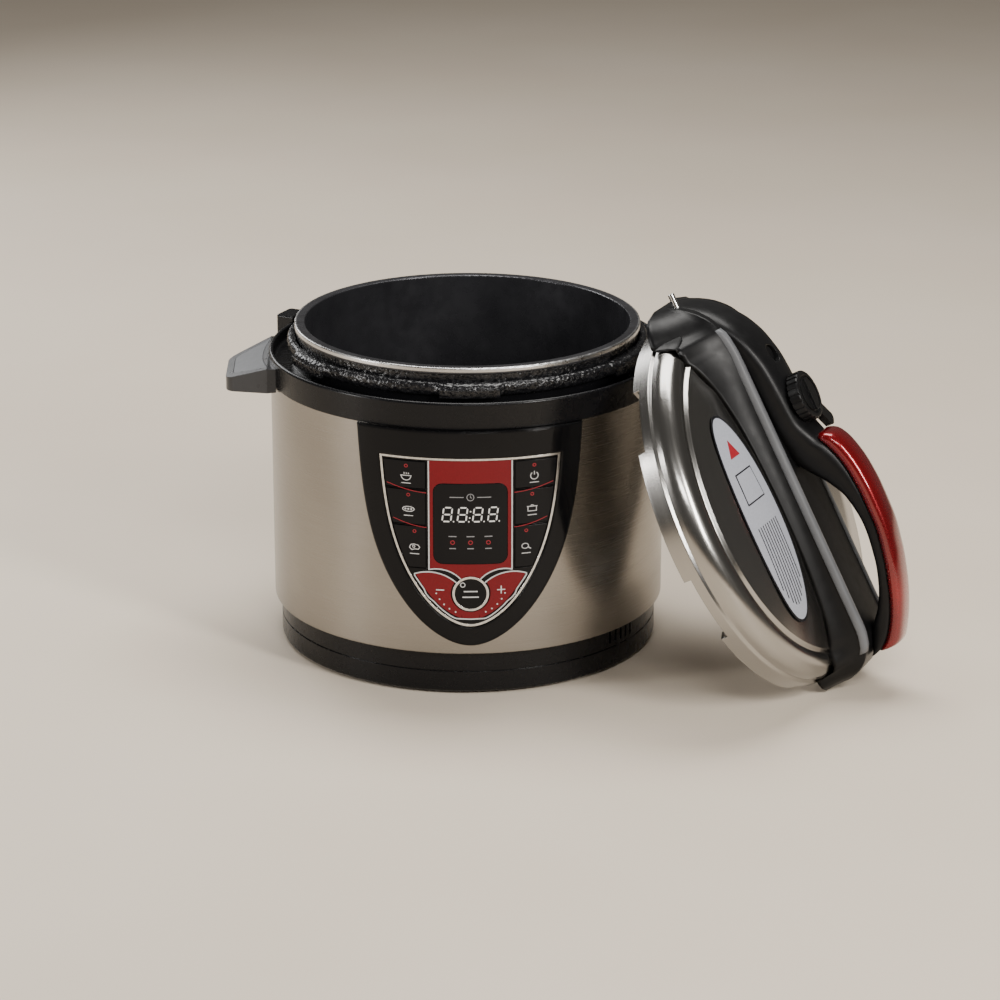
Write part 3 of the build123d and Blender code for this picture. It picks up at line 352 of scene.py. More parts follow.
def silicone():
    """Off-white satin silicone."""
    s = Shader("silicone")
    cloud = s.spread(s.noise(40, 3), 0.3, 0.7, 0.0, 1.0)
    s.set(base_color=s.mix(cloud, rgb(0.5, 0.49, 0.46), rgb(0.62, 0.61, 0.58)))
    s.set(roughness=s.spread(s.noise(200, 3), 0.3, 0.7, 0.4, 0.55))
    s.bsdf.inputs["Subsurface Weight"].default_value = 0.15
    s.bsdf.inputs["Subsurface Scale"].default_value = 2 * MM
    s.set(normal=s.bump(s.noise(1400, 2), 0.1, 0.03 * MM, s.soft_edges(0.6 * MM)))
    return s.mat


# Lid and body are one steel, given a paler base colour on the lid and a darker, warmer one on the body. They
# are lit and shaded copies: the body's colour holds painted shade and a painted warm reflection of the table.
PAINTED_SHADE_STEEL = rgb(0.31, 0.29, 0.262)
PAINTED_LIT_STEEL = rgb(0.42, 0.408, 0.388)

mats = {
    "satin_black": moulded("satin_black", rgb(0.005, 0.005, 0.006), 0.27),
    "cover_black": moulded("cover_black", rgb(0.006, 0.006, 0.0065), 0.38, 1.0),
    "handle_grey": moulded("handle_grey", rgb(0.03, 0.031, 0.034), 0.3, 0.7, coat=0.2),
    "plate_grey": moulded("plate_grey", rgb(0.075, 0.078, 0.085), 0.34, 0.7),
    "stripe_grey": moulded("stripe_grey", rgb(0.16, 0.165, 0.175), 0.38, 0.7),
    "white_plastic": moulded("white_plastic", rgb(0.6, 0.6, 0.57), 0.45, 0.8),
    "ceramic": moulded("ceramic", rgb(0.7, 0.67, 0.6), 0.6, 1.6),
    "rubber": moulded("foot_rubber", rgb(0.02, 0.02, 0.02), 0.75, 2.0),
    "gloss_black": gloss_black("gloss_black"),
    "bezel_black": gloss_black("bezel_black", 0.08, edge=2.6 * MM),
    "key_black": gloss_black("key_black", 0.14, rgb(0.004, 0.004, 0.005)),
    "window_black": gloss_black("window_black", 0.07, rgb(0.003, 0.003, 0.004)),
    # body_steel and lid_steel differ only by the painted shade and painted light in their base colours.
    "body_steel": brushed("body_steel", base_centre, AXIS_Z, AXIS_X, PAINTED_SHADE_STEEL, 0.24),
    "lid_steel": brushed("lid_steel", lid_centre, lid_up, lid_along, PAINTED_LIT_STEEL, 0.21, 0.9, 2600.0),
    "hammered": hammered(),
    "nonstick": nonstick(),
    "cast": cast_metal("cast_aluminium", rgb(0.6, 0.6, 0.59), 0.42, 700, 0.12 * MM),
    "zinc": cast_metal("zinc_plate", rgb(0.58, 0.58, 0.55), 0.3, 300, 0.03 * MM),
    "bright": cast_metal("bright_plate", rgb(0.75, 0.75, 0.74), 0.2, 500, 0.01 * MM),
    "grip_red": metallic_red("grip_red"),
    "face_red": printed("face_red", rgb(0.17, 0.001, 0.006), 0.2),
    "line_white": printed("line_white", rgb(0.62, 0.62, 0.62), 0.35),
    "icon_white": printed("icon_white", rgb(0.66, 0.66, 0.66), 0.4),
    "icon_grey": printed("icon_grey", rgb(0.3, 0.3, 0.31), 0.4),
    "icon_red": printed("icon_red", rgb(0.35, 0.02, 0.03), 0.35),
    "digit": printed("digit", rgb(0.75, 0.74, 0.72), 0.3, 0.25),
    "label": printed("label_film", rgb(0.42, 0.44, 0.5), 0.35),
    "label_line": printed("label_line", rgb(0.012, 0.012, 0.014), 0.35),
    "circuit": circuit(),
    "clear": clear_cup(),
    "silicone": silicone(),
}

finishes = {
    "satin_black": ["base_bottom", "collar", "lid_switch_housing", "cup_bracket", "key_switches"],
    "cover_black": ["lid_cover", "handle_arch", "steam_knob", "float_valve"],
    "handle_grey": ["left_handle", "right_handle"],
    "plate_grey": ["left_handle_plate", "right_handle_plate"],
    "stripe_grey": ["trim_stripes"],
    "white_plastic": ["pressure_switch", "display_module"],
    "ceramic": ["heater_terminals"],
    "rubber": ["rubber_feet"],
    "bezel_black": ["panel_bezel"],
    "gloss_black": ["power_inlet", "select_key", "panel_face"],
    "key_black": [f"{s}_{r}_key" for s in ("left", "right") for r in ("top", "middle", "bottom")],
    "window_black": ["display_window"],
    "body_steel": ["steel_shell"],
    "lid_steel": ["lid_shell", "seal_rack"],
    "hammered": ["outer_pot"],
    "nonstick": ["inner_pot"],
    "cast": ["heating_plate", "temperature_sensor"],
    "zinc": ["sensor_spring", "sensor_bracket", "thermal_fuse", "base_screws", "handle_screws",
             "steam_pipe", "anti_block_cap", "rack_stud", "rack_nut", "cover_screws"],
    "bright": ["inlet_pins", "face_trim", "select_ring", "lock_pin"],
    "grip_red": ["handle_grip"],
    "face_red": ["minus_key", "plus_key"],
    "label": ["warning_label"],
    "circuit": ["power_board", "control_board"],
    "clear": ["condensate_cup"],
    "silicone": ["sealing_ring", "float_seal"],
}


def dress(node, mat):
    """Give a CAD node one of the materials."""
    data = nodes[node].data
    data.materials.clear()
    data.materials.append(mat)


for key, members in finishes.items():
    for member in members:
        dress(member, mats[key])


def finished(name, mesh, mat, body):
    """Turn a bmesh into a piece with its material and body."""
    data = bpy.data.meshes.new(name)
    mesh.to_mesh(data)
    mesh.free()
    piece = bpy.data.objects.new(name, data)
    bpy.context.scene.collection.objects.link(piece)
    data.materials.append(mat)
    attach(piece, body)
    return piece


# ---- Printed panel -----------------------------------------------------------
FACE_R = -low("panel_face")[1]          # radius of the face plate's front
KEY_R = FACE_R + 0.15 * MM              # the keys' tops
INK = 0.06 * MM                         # thickness of printed ink
face_top_z = high("face_trim")[2] + 0.3 * MM
select_z = (low("select_key")[2] + high("select_key")[2]) / 2
select_r = high("select_ring")[0]
window_half_w = high("display_window")[0]
window_z = (low("display_window")[2] + high("display_window")[2]) / 2
window_half_h = high("display_window")[2] - window_z
column_half_w = window_half_w + 3.1 * MM
column_low_z = select_z + 16.2 * MM
LINE = 0.85 * MM


def trim_half_width(z):
    """Inner half width of the bright line round the key field, at a height."""
    near = [abs(v.co.x) for v in nodes["face_trim"].data.vertices if abs(v.co.z - z) < 2.5 * MM]
    return min(near) if near else 0.0


class Print:
    """Flat ink shapes on the XZ plane, laid on the panel's cylinder as one thin piece."""

    def __init__(self):
        self.mesh = bmesh.new()

    def fill(self, outline, holes=()):
        """A filled outline, with holes."""
        edges = []
        for loop in (outline, *holes):
            spots = [self.mesh.verts.new((x, 0, z)) for x, z in loop]
            edges += [self.mesh.edges.new((a, b)) for a, b in zip(spots, spots[1:] + spots[:1])]
        bmesh.ops.triangle_fill(self.mesh, edges=edges, use_beauty=True, normal=(0, -1, 0))
        return self

    def line(self, points, width=LINE, closed=False):
        """A line of constant width, with mitred corners."""
        count = len(points)
        sides = []
        for i, point in enumerate(points):
            here = Vector(point)
            before = Vector(points[i - 1]) if closed or i else None
            after = Vector(points[(i + 1) % count]) if closed or i < count - 1 else None
            arms = []
            if before:
                arms.append((here - before).normalized())
            if after:
                arms.append((after - here).normalized())
            along = sum(arms, Vector((0, 0))).normalized()
            normal = Vector((-along.y, along.x))
            reach = width / 2 / max(0.5, normal.dot(Vector((-arms[0].y, arms[0].x))))
            corners = [here + normal * reach * s for s in (-1, 1)]
            sides.append([self.mesh.verts.new((x, 0, z)) for x, z in corners])
        pairs = list(zip(sides, sides[1:] + sides[:1])) if closed else list(zip(sides, sides[1:]))
        for a, b in pairs:
            self.mesh.faces.new((a[0], b[0], b[1], a[1]))
        return self

    def disc(self, x, z, r, steps=20):
        return self.fill(arc(x, z, r, 0, 360, steps)[:-1])

    def ring(self, x, z, r, width):
        return self.line(arc(x, z, r, 0, 360, 28)[:-1], width, closed=True)

    def bar(self, x, z, half_w, half_h, lean=0.0):
        return self.fill([(x - half_w - lean, z - half_h), (x + half_w - lean, z - half_h),
                          (x + half_w + lean, z + half_h), (x - half_w + lean, z + half_h)])

    def lay(self, name, mat, body, radius):
        """Bend the shapes round the panel and give them the ink's thickness."""
        mesh = self.mesh
        bmesh.ops.remove_doubles(mesh, verts=mesh.verts, dist=0.001 * MM)
        step = 2.0 * MM
        half = max(abs(v.co.x) for v in mesh.verts)
        for k in range(-int(half / step), int(half / step) + 1):
            bmesh.ops.bisect_plane(
                mesh, geom=mesh.verts[:] + mesh.edges[:] + mesh.faces[:],
                plane_co=(k * step + 0.11 * MM, 0, 0), plane_no=(1, 0, 0),
            )
        bmesh.ops.triangulate(mesh, faces=[f for f in mesh.faces if len(f.verts) > 4])
        for face in mesh.faces:
            face.normal_update()
            if face.normal.y > 0:
                face.normal_flip()
        for v in mesh.verts:
            v.co.y = -math.sqrt(radius * radius - v.co.x * v.co.x)
        top = bmesh.ops.extrude_face_region(mesh, geom=mesh.faces[:], use_keep_orig=True)
        raised = [v for v in top["geom"] if isinstance(v, bmesh.types.BMVert)]
        for v in raised:
            v.co.xy = v.co.xy * (1 + INK / radius)
        bmesh.ops.recalc_face_normals(mesh, faces=mesh.faces[:])
        return finished(name, mesh, mat, body)


def arc(x, z, r, from_deg, to_deg, steps=16):
    """Points along an arc on the XZ plane."""
    turn = [math.radians(from_deg + (to_deg - from_deg) * k / steps) for k in range(steps + 1)]
    return [(x + r * math.cos(a), z + r * math.sin(a)) for a in turn]


def rounded_box(x, z, half_w, half_h, r):
    """Outline of a rectangle with rounded corners."""
    points = []
    for cx, cz, start in ((1, 1, 0), (-1, 1, 90), (-1, -1, 180), (1, -1, 270)):
        points += arc(x + cx * (half_w - r), z + cz * (half_h - r), r, start, start + 90, 5)
    return points


def mirrored(points):
    return [(-x, z) for x, z in points]


# The funnel's two arcs run from the column's lower corners to the round key.
funnel_side = arc(21.8 * MM, select_z - 3.6 * MM, 20.5 * MM, 75, 140, 14)
crescent_arch_x = 27.1 * MM
crescent_arch_z = select_z - 11.2 * MM
crescent_arch_r = 25.75 * MM


def crescent_side():
    """Right side of the crescent's outline, from below the round key out to the tip and back."""
    tip_z = crescent_arch_z + crescent_arch_r * 0.88
    keys = nodes["plus_key"].data.vertices
    rim = [v.co for v in keys if v.co.xy.length > FACE_R]
    low_z = min(v.z for v in rim) - 0.6 * MM
    edge = []
    for k in range(15):
        z = low_z + (tip_z - low_z) * (k / 14) ** 1.6
        widest = [v.x for v in rim if abs(v.z - z) < 1.6 * MM]
        edge.append((max(widest) + 0.75 * MM if k and widest else 0.0, z))
    reach = math.degrees(math.acos(min(1.0, (edge[-1][0] - crescent_arch_x) / crescent_arch_r)))
    top = arc(crescent_arch_x, crescent_arch_z, crescent_arch_r, reach, 136, 18)
    return edge, top


def print_panel():
    red = Print()
    column = [
        (-column_half_w, face_top_z - 2.0 * MM), (column_half_w, face_top_z - 2.0 * MM),
        (column_half_w, column_low_z), *funnel_side,
        *reversed(mirrored(funnel_side)), (-column_half_w, column_low_z),
    ]
    hole = rounded_box(0, window_z, window_half_w + 0.3 * MM, window_half_h + 0.3 * MM, 6.2 * MM)
    red.fill(column, [hole])
    below = arc(0, select_z, select_r + 0.9 * MM, 240, 300, 12)
    edge, top = crescent_side()
    red.fill([(-5.6 * MM, edge[0][1] + 0.5 * MM), (5.6 * MM, edge[0][1] + 0.5 * MM), *reversed(below)])
    red.lay("red_print", mats["face_red"], "base", FACE_R + 0.01 * MM)

    white = Print()
    for side in (1, -1):
        flip = (lambda p: p) if side > 0 else mirrored
        post = [(column_half_w, face_top_z - 2.2 * MM), (column_half_w, column_low_z)]
        white.line(flip([*post, *funnel_side]), LINE)
        white.line(flip(edge + top), LINE)
    white.lay("white_lines", mats["line_white"], "base", KEY_R + 0.02 * MM)

    arcs = Print()
    for drop in (24.5, 48.5):
        z = face_top_z - drop * MM
        out = trim_half_width(z + 3 * MM) - 1.5 * MM
        inner = column_half_w + 1.5 * MM
        curve = [(inner + (out - inner) * t / 10, z + 5.2 * MM * (t / 10) ** 1.7) for t in range(11)]
        for flip in (lambda p: p, mirrored):
            arcs.line(flip(curve), 0.45 * MM)
    arcs.lay("key_arcs", mats["icon_red"], "base", KEY_R + 0.02 * MM)


SEGMENTS = {
    "a": (0, 1, True), "b": (0.5, 0.5, False), "c": (0.5, -0.5, False), "d": (0, -1, True),
    "e": (-0.5, -0.5, False), "f": (-0.5, 0.5, False), "g": (0, 0, True),
}


def print_display():
    """Seven-segment digits, colon, three level rings and their marks."""
    shown = Print()
    digit_w, digit_h, stroke, slant = 5.6 * MM, 9.6 * MM, 0.95 * MM, 0.13
    digits_z = window_z + 6.6 * MM
    for x in (-15.2, -5.2, 4.8, 14.8):
        for sx, sz, flat in SEGMENTS.values():
            z = sz * digit_h / 2
            cx = x * MM + sx * digit_w + slant * z
            if flat:
                long = digit_w / 2 - 0.65 * MM
                points = [(cx - long, 0), (cx - long + stroke / 2, stroke / 2),
                          (cx + long - stroke / 2, stroke / 2), (cx + long, 0),
                          (cx + long - stroke / 2, -stroke / 2), (cx - long + stroke / 2, -stroke / 2)]
                shown.fill([(px, digits_z + z + pz) for px, pz in points])
            else:
                long = digit_h / 4 - 0.45 * MM
                points = [(0, -long), (stroke / 2, -long + stroke / 2), (stroke / 2, long - stroke / 2),
                          (0, long), (-stroke / 2, long - stroke / 2), (-stroke / 2, -long + stroke / 2)]
                shown.fill([(cx + px + slant * pz, digits_z + z + pz) for px, pz in points])
        shown.disc(x * MM + digit_w / 2 + 1.3 * MM, digits_z - digit_h / 2, 0.5 * MM, 10)
    for dz in (-2.2, 2.2):
        shown.disc(-0.2 * MM + slant * dz * MM, digits_z + dz * MM, 0.5 * MM, 10)
    glass_r = -low("display_window")[1] + 0.01 * MM
    shown.lay("display_digits", mats["digit"], "base", glass_r)

    marks = Print()
    clock_z = window_z + 18.6 * MM
    marks.ring(0, clock_z, 2.3 * MM, 0.45 * MM)
    marks.line([(0, clock_z + 1.5 * MM), (0, clock_z), (1.1 * MM, clock_z - 0.5 * MM)], 0.4 * MM)
    for side in (-1, 1):
        marks.bar(side * 9.0 * MM, clock_z, 4.6 * MM, 0.28 * MM)
    rings_z = window_z - 12.8 * MM
    for x in (-11.8, 0, 11.8):
        for rise, wide in ((4.2, 2.6), (-4.2, 2.2)):
            marks.bar(x * MM, rings_z + rise * MM, wide * MM, 0.32 * MM)
    marks.lay("display_marks", mats["icon_grey"], "base", glass_r)

    levels = Print()
    for x in (-11.8, 0, 11.8):
        levels.ring(x * MM, rings_z, 1.25 * MM, 0.55 * MM)
    levels.lay("level_rings", mats["icon_red"], "base", glass_r)


def key_icon(ink, kind, x, z):
    """A small plain pictogram, about 8 mm across."""
    def at(points):
        return [(x + px * MM, z + pz * MM) for px, pz in points]

    width = 0.5 * MM
    if kind == "bowl":
        ink.line(at([(-3.6, 0.6), (3.6, 0.6)]), width)
        ink.line(arc(x, z + 0.6 * MM, 3.2 * MM, 180, 360, 14), width)
        for dx in (-1.4, 0, 1.4):
            ink.line(at([(dx, 1.5), (dx + 0.4, 2.1), (dx, 2.7)]), 0.4 * MM)
    elif kind == "pod":
        outline = [(x + px, z + pz * 0.45) for px, pz in arc(0, 0, 3.8 * MM, 0, 360, 24)[:-1]]
        ink.line(outline, width, closed=True)
        for dx in (-1.9, 0, 1.9):
            ink.disc(x + dx * MM, z, 0.65 * MM, 12)
    elif kind == "steak":
        outline = [(-3.4, -0.4), (-2.6, 1.6), (-0.4, 2.2), (2.2, 1.6),
                   (3.4, 0.2), (2.4, -1.4), (0.2, -1.2), (-1.8, -1.9)]
        ink.line(at(outline), width, closed=True)
        ink.ring(x - 0.6 * MM, z + 0.5 * MM, 0.8 * MM, 0.4 * MM)
    elif kind == "power":
        ink.line(arc(x, z, 2.5 * MM, -235, 55, 22), 0.55 * MM)
        ink.line(at([(0, 0.6), (0, 3.1)]), 0.55 * MM)
    elif kind == "pot":
        ink.line(at([(-2.8, 1.2), (-2.8, -1.9), (2.8, -1.9), (2.8, 1.2)]), width)
        ink.line(at([(-3.5, 1.3), (3.5, 1.3)]), width)
        ink.line(arc(x, z + 1.3 * MM, 1.0 * MM, 0, 180, 8), 0.4 * MM)
    else:
        meat = arc(0, 0.5 * MM, 2.2 * MM, 0, 360, 20)[:-1]
        ink.line([(x + px - 0.7 * MM, z + pz * 0.8) for px, pz in meat], width, closed=True)
        ink.line(at([(1.3, -0.6), (3.2, -1.8)]), 0.6 * MM)
    ink.bar(x, z - 4.6 * MM, 3.0 * MM, 0.26 * MM)


def print_keys():
    """A pictogram, an underline and a red ring on every side key, and the marks on the others."""
    kinds = {"left_top": "bowl", "left_middle": "pod", "left_bottom": "steak",
             "right_top": "power", "right_middle": "pot", "right_bottom": "drumstick"}
    for place, kind in kinds.items():
        key = place + "_key"
        side = -1 if place.startswith("left") else 1
        middle_z = (low(key)[2] + high(key)[2]) / 2
        out = trim_half_width(middle_z - 3 * MM)
        x = side * (column_half_w + out) / 2
        if place.endswith("bottom"):
            middle_z += 1.2 * MM
        ink = Print()
        key_icon(ink, kind, x, middle_z - 1.5 * MM)
        ink.lay(place + "_icon", mats["icon_white"], key, KEY_R + 0.02 * MM)
        light = Print()
        light.ring(x, high(key)[2] - 3.4 * MM, 0.95 * MM, 0.5 * MM)
        light.lay(place + "_ring", mats["icon_red"], key, KEY_R + 0.02 * MM)

    for side, name in ((-1, "minus"), (1, "plus")):
        ink = Print()
        x, z = side * 20.2 * MM, select_z + 2.2 * MM
        ink.bar(x, z, 2.7 * MM, 0.36 * MM)
        if side > 0:
            ink.bar(x, z + 1.55 * MM, 0.36 * MM, 1.15 * MM)
            ink.bar(x, z - 1.55 * MM, 0.36 * MM, 1.15 * MM)
        for k in range(5):
            turn = math.radians(-90 + side * (24 + 11 * k))
            dot_z = select_z + 8.5 * MM + 23.6 * MM * math.sin(turn)
            ink.disc(24.5 * MM * math.cos(turn), dot_z, 0.55 * MM, 10)
        ink.lay(name + "_mark", mats["icon_white"], name + "_key", KEY_R + 0.02 * MM)

    ink = Print()
    ink.ring(-5.2 * MM, select_z + 6.2 * MM, 1.5 * MM, 0.5 * MM)
    for rise, wide in ((1.6, 4.6), (-2.4, 5.4)):
        ink.bar(0, select_z + rise * MM, wide * MM, 0.4 * MM)
    ink.lay("select_mark", mats["icon_white"], "select", -low("select_key")[1] + 0.01 * MM)


print_panel()
print_display()
print_keys()


# ---- Smooth shells over the lid ---------------------------------------------
def eased(table, x):
    """Smooth value from a list of (x, value, value...) rows, by a monotone cubic."""
    xs = [row[0] for row in table]
    if x <= xs[0]:
        return table[0][1:]
    if x >= xs[-1]:
        return table[-1][1:]
    i = max(k for k in range(len(xs) - 1) if xs[k] <= x)
    span = xs[i + 1] - xs[i]
    t = (x - xs[i]) / span
    out = []
    for column in range(1, len(table[0])):
        def slope(k):
            sides = []
            for here, there in ((k - 1, k), (k, k + 1)):
                if here >= 0 and there < len(xs):
                    rise = table[there][column] - table[here][column]
                    sides.append(rise / (xs[there] - xs[here]))
            if len(sides) == 1:
                return sides[0]
            product = sides[0] * sides[1]
            return 0.0 if product <= 0 else 2 * product / (sides[0] + sides[1])

        start, end = table[i][column], table[i + 1][column]
        value = (2 * t**3 - 3 * t**2 + 1) * start + (t**3 - 2 * t**2 + t) * slope(i) * span
        value += (3 * t**2 - 2 * t**3) * end + (t**3 - t**2) * slope(i + 1) * span
        out.append(value)
    return tuple(out)


def loft(name, rings, mat, body, place=None, closed=False):
    """A smooth closed skin through rings of points, in millimetres."""
    mesh = bmesh.new()
    place = place or Matrix.Identity(4)
    rows = [[mesh.verts.new(place @ (Vector(p) * MM)) for p in ring] for ring in rings]
    pairs = list(zip(rows, rows[1:] + rows[:1])) if closed else list(zip(rows, rows[1:]))
    for a, b in pairs:
        for i in range(len(a)):
            j = (i + 1) % len(a)
            mesh.faces.new((a[i], a[j], b[j], b[i]))
    if not closed:
        mesh.faces.new(rows[0])
        mesh.faces.new(list(reversed(rows[-1])))
    bmesh.ops.recalc_face_normals(mesh, faces=mesh.faces[:])
    for face in mesh.faces:
        face.smooth = True
    return finished(name, mesh, mat, body)


def steps(start, end, count):
    return [start + (end - start) * k / (count - 1) for k in range(count)]


# the lid's upper surface: radius, height
LID_TOP = (
    (0, 42), (45, 40.5), (90, 36.5), (113, 30.9), (115.5, 28.6),
    (126, 28.5), (129.3, 25), (130.9, 12), (131.3, 12),
)
SKIRT_H = 12.0                          # height where the lid's flank is left
LID_EDGE_R = 131.3


def lid_height(r):
    return max(SKIRT_H, eased(LID_TOP, r)[0])


TUCK = 0.4                              # how far the cover's foot goes into the dome
SIDE_SAG = 2.4                          # hollow of the cover's flanks
EDGE_ROUND = (1.6, 1.2)                 # rounding of its top edges, across and up
CROWN = 0.5                             # how much its top bulges

# along the cover: u, foot half width, top edge half width, top height
COVER = (
    (-143, 22, 10, 14), (-141.5, 33, 15, 19), (-138, 42, 18.5, 27), (-131, 49, 21.5, 38),
    (-121, 52, 23.2, 47), (-108, 50.5, 24, 52.5), (-94, 46, 24, 54), (-76, 40, 24, 54),
    (-50, 35.5, 24, 54), (0, 33, 24, 54), (70, 31.5, 24, 54), (104, 32.5, 24, 54),
    (118, 33.5, 23.5, 51), (127, 32.5, 22, 45), (133, 29, 19, 36), (136, 24, 15, 28),
)


def cover_ring(u):
    """One cross-section of the cover: over the top, and back along the lid's surface."""
    foot, edge, top = eased(COVER, u)
    across, up = EDGE_ROUND
    foot_r = math.hypot(u, foot)
    foot_h = lid_height(foot_r) - (TUCK if foot_r < LID_EDGE_R - 2.3 else 0.0)
    half = []
    for t in steps(0.0, 1.0, 9):
        sag = SIDE_SAG * math.sin(math.pi * t) * min(1.0, (top - foot_h) / 20)
        half.append((foot + (edge - foot) * t - sag, foot_h + (top - up - foot_h) * t))
    for turn in steps(0, math.pi / 2, 5)[1:]:
        half.append((edge - across + across * math.cos(turn), top - up + up * math.sin(turn)))
    half += [(edge * k, top + CROWN * (1 - k * k)) for k in (0.7, 0.45, 0.2)]
    over = [(u, -v, h) for v, h in half]
    over.append((u, 0, top + CROWN))
    over += [(u, v, h) for v, h in reversed(half)]
    under = []
    for v in steps(foot - 1.5, 1.5 - foot, 15):
        r = math.hypot(u, v)
        surface = lid_height(r) + 0.35 if r < LID_EDGE_R else SKIRT_H
        under.append((u, v, min(surface, top - 1.0)))
    return over + under


# the spine and the arch that grows out of it: u, top, underside, half width
SPINE = (
    (-142, 17, 12.5, 7), (-139.5, 26, 13, 13), (-135, 35, 14, 17), (-126, 47, 20, 19.5), (-112, 58, 40, 20.5),
    (-97, 65, 48, 20.5), (-78, 69.6, 50, 20), (-58, 71, 50, 19.2), (-40, 71.4, 50, 18), (-27, 75.5, 50, 16),
    (-14, 82, 52, 13.8), (-4, 85.8, 58.5, 12.6), (8, 88, 68.5, 11.8), (22, 89, 76, 11.3), (42, 88.9, 79, 11),
    (66, 85.4, 76.2, 11), (84, 80.6, 70.8, 11), (98, 75.8, 63.5, 11), (110, 70, 54, 11.4),
    (119, 63.5, 50, 12), (125, 56, 48, 12.3), (127, 50, 47, 12),
)


def oval(u, top, low, half_w, power, count=36):
    """A superellipse across the handle, at one place along it."""
    ring = []
    for k in range(count):
        turn = 2 * math.pi * k / count
        c, s = math.cos(turn), math.sin(turn)
        ring.append((
            u,
            half_w * math.copysign(abs(c) ** (2 / power), c),
            (top + low) / 2 + (top - low) / 2 * math.copysign(abs(s) ** (2 / power), s),
        ))
    return ring


# along the grip: u, top
GRIP = (
    (-25.5, 83.5), (-22, 87.2), (-12, 92.6), (8, 97), (24, 98), (42, 97.6),
    (66, 93.8), (88, 87.6), (106, 80.2), (119, 73), (126.5, 68),
)
GRIP_HALF_W = 12.5
GRIP_SUNK = 3.0                         # how deep the grip sits in the arch
# the grip's rounded ends: u, share of the full section
GRIP_HEAD = ((-25.5, 0.25), (-25.0, 0.55), (-24.0, 0.8), (-22.5, 0.94))
GRIP_TAIL = ((125.2, 0.95), (126.0, 0.82), (126.5, 0.6))

# across a stripe: outwards from the cover's edge, up from its top
STRIPE = (
    (-4.6, -1.0), (-4.6, 0.5), (-4.2, 0.8), (-0.8, 0.75), (0.5, 0.1),
    (1.1, -1.3), (1.5, -3.8), (1.1, -4.2), (-0.8, -4.0),
)
STRIPE_ENDS = (-116, 121)
STRIPE_LIFT, STRIPE_TUCK = 0.25, -0.6   # proud along its length, sunk at both ends

FLOAT_U, KNOB_SPOT_U = -85.5, -51       # centres of the two holes
FLOAT_HOLE_R, KNOB_HOLE_R = 6.5, 6.3


def grip_ring(u, shrink=1.0):
    top = eased(GRIP, u)[0]
    low = eased(SPINE, u)[0] - GRIP_SUNK
    middle = (top + low) / 2
    half = (top - low) / 2 * shrink
    half_w = GRIP_HALF_W * (0.35 + 0.65 * shrink)
    return oval(u, middle + half, middle - half, half_w, 2.7)


def bored(piece, centre, axis, radius, depth):
    """Cut a round blind hole into a piece, for good."""
    mesh = bmesh.new()
    turn = axis.to_track_quat("Z", "Y").to_matrix().to_4x4()
    bmesh.ops.create_cone(
        mesh, cap_ends=True, segments=40, radius1=radius, radius2=radius, depth=depth,
        matrix=Matrix.Translation(centre) @ turn,
    )
    data = bpy.data.meshes.new("cutter")
    mesh.to_mesh(data)
    mesh.free()
    tool = bpy.data.objects.new("cutter", data)
    bpy.context.scene.collection.objects.link(tool)
    cut = piece.modifiers.new("hole", "BOOLEAN")
    cut.object = tool
    cut.operation = "DIFFERENCE"
    cut.solver = "EXACT"
    bpy.context.view_layer.update()
    done = bpy.data.meshes.new_from_object(piece.evaluated_get(bpy.context.evaluated_depsgraph_get()))
    piece.modifiers.clear()
    piece.data = done
    bpy.data.objects.remove(tool)


def lid_piece(name, rings, look):
    return loft(name, rings, mats[look], "lid", lid_frame)


def lid_hole(piece, u, h, radius, depth):
    bored(piece, lid_frame @ (Vector((u, 0, h)) * MM), lid_up, radius * MM, depth * MM)


def stripe_ring(u, side):
    edge, top = eased(COVER, u)[1:]
    inside = STRIPE_ENDS[0] + 0.5 < u < STRIPE_ENDS[1] - 0.5
    lift = STRIPE_LIFT if inside else STRIPE_TUCK
    return [(u, side * (edge + dv), top + dh + lift) for dv, dh in STRIPE]


def lid_shells():
    """Cover, spine with its arch, red grip and the two stripes, in place of the plainer solids."""
    rings = [cover_ring(u) for u in steps(-143, 136, 96)]
    cover = lid_piece("cover_skin", rings, "cover_black")
    rings = [oval(u, *eased(SPINE, u), 3.0 if u < -20 else 3.4) for u in steps(-142, 127, 112)]
    spine = lid_piece("spine_and_arch", rings, "cover_black")
    for piece, height in ((spine, 70.5), (cover, 60.0)):
        lid_hole(piece, FLOAT_U, height, FLOAT_HOLE_R, 14)
    lid_hole(spine, KNOB_SPOT_U, 70, KNOB_HOLE_R, 20)
    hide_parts("lid_cover")
    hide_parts("handle_arch")

    rings = [grip_ring(u, share) for u, share in GRIP_HEAD]
    rings += [grip_ring(u) for u in steps(-20.5, 123.5, 70)]
    rings += [grip_ring(u, share) for u, share in GRIP_TAIL]
    grip = lid_piece("grip_skin", rings, "grip_red")
    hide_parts("handle_grip")

    for side, name in ((-1, "stripe_near"), (1, "stripe_far")):
        rings = [stripe_ring(u, side) for u in steps(*STRIPE_ENDS, 60)]
        stripe = lid_piece(name, rings, "stripe_grey")
        if side < 0:
            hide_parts("trim_stripes")


LABEL_U, LABEL_V = 6.0, -61.0           # middle of the label on the lid
FILM = 0.12                             # thickness of its films


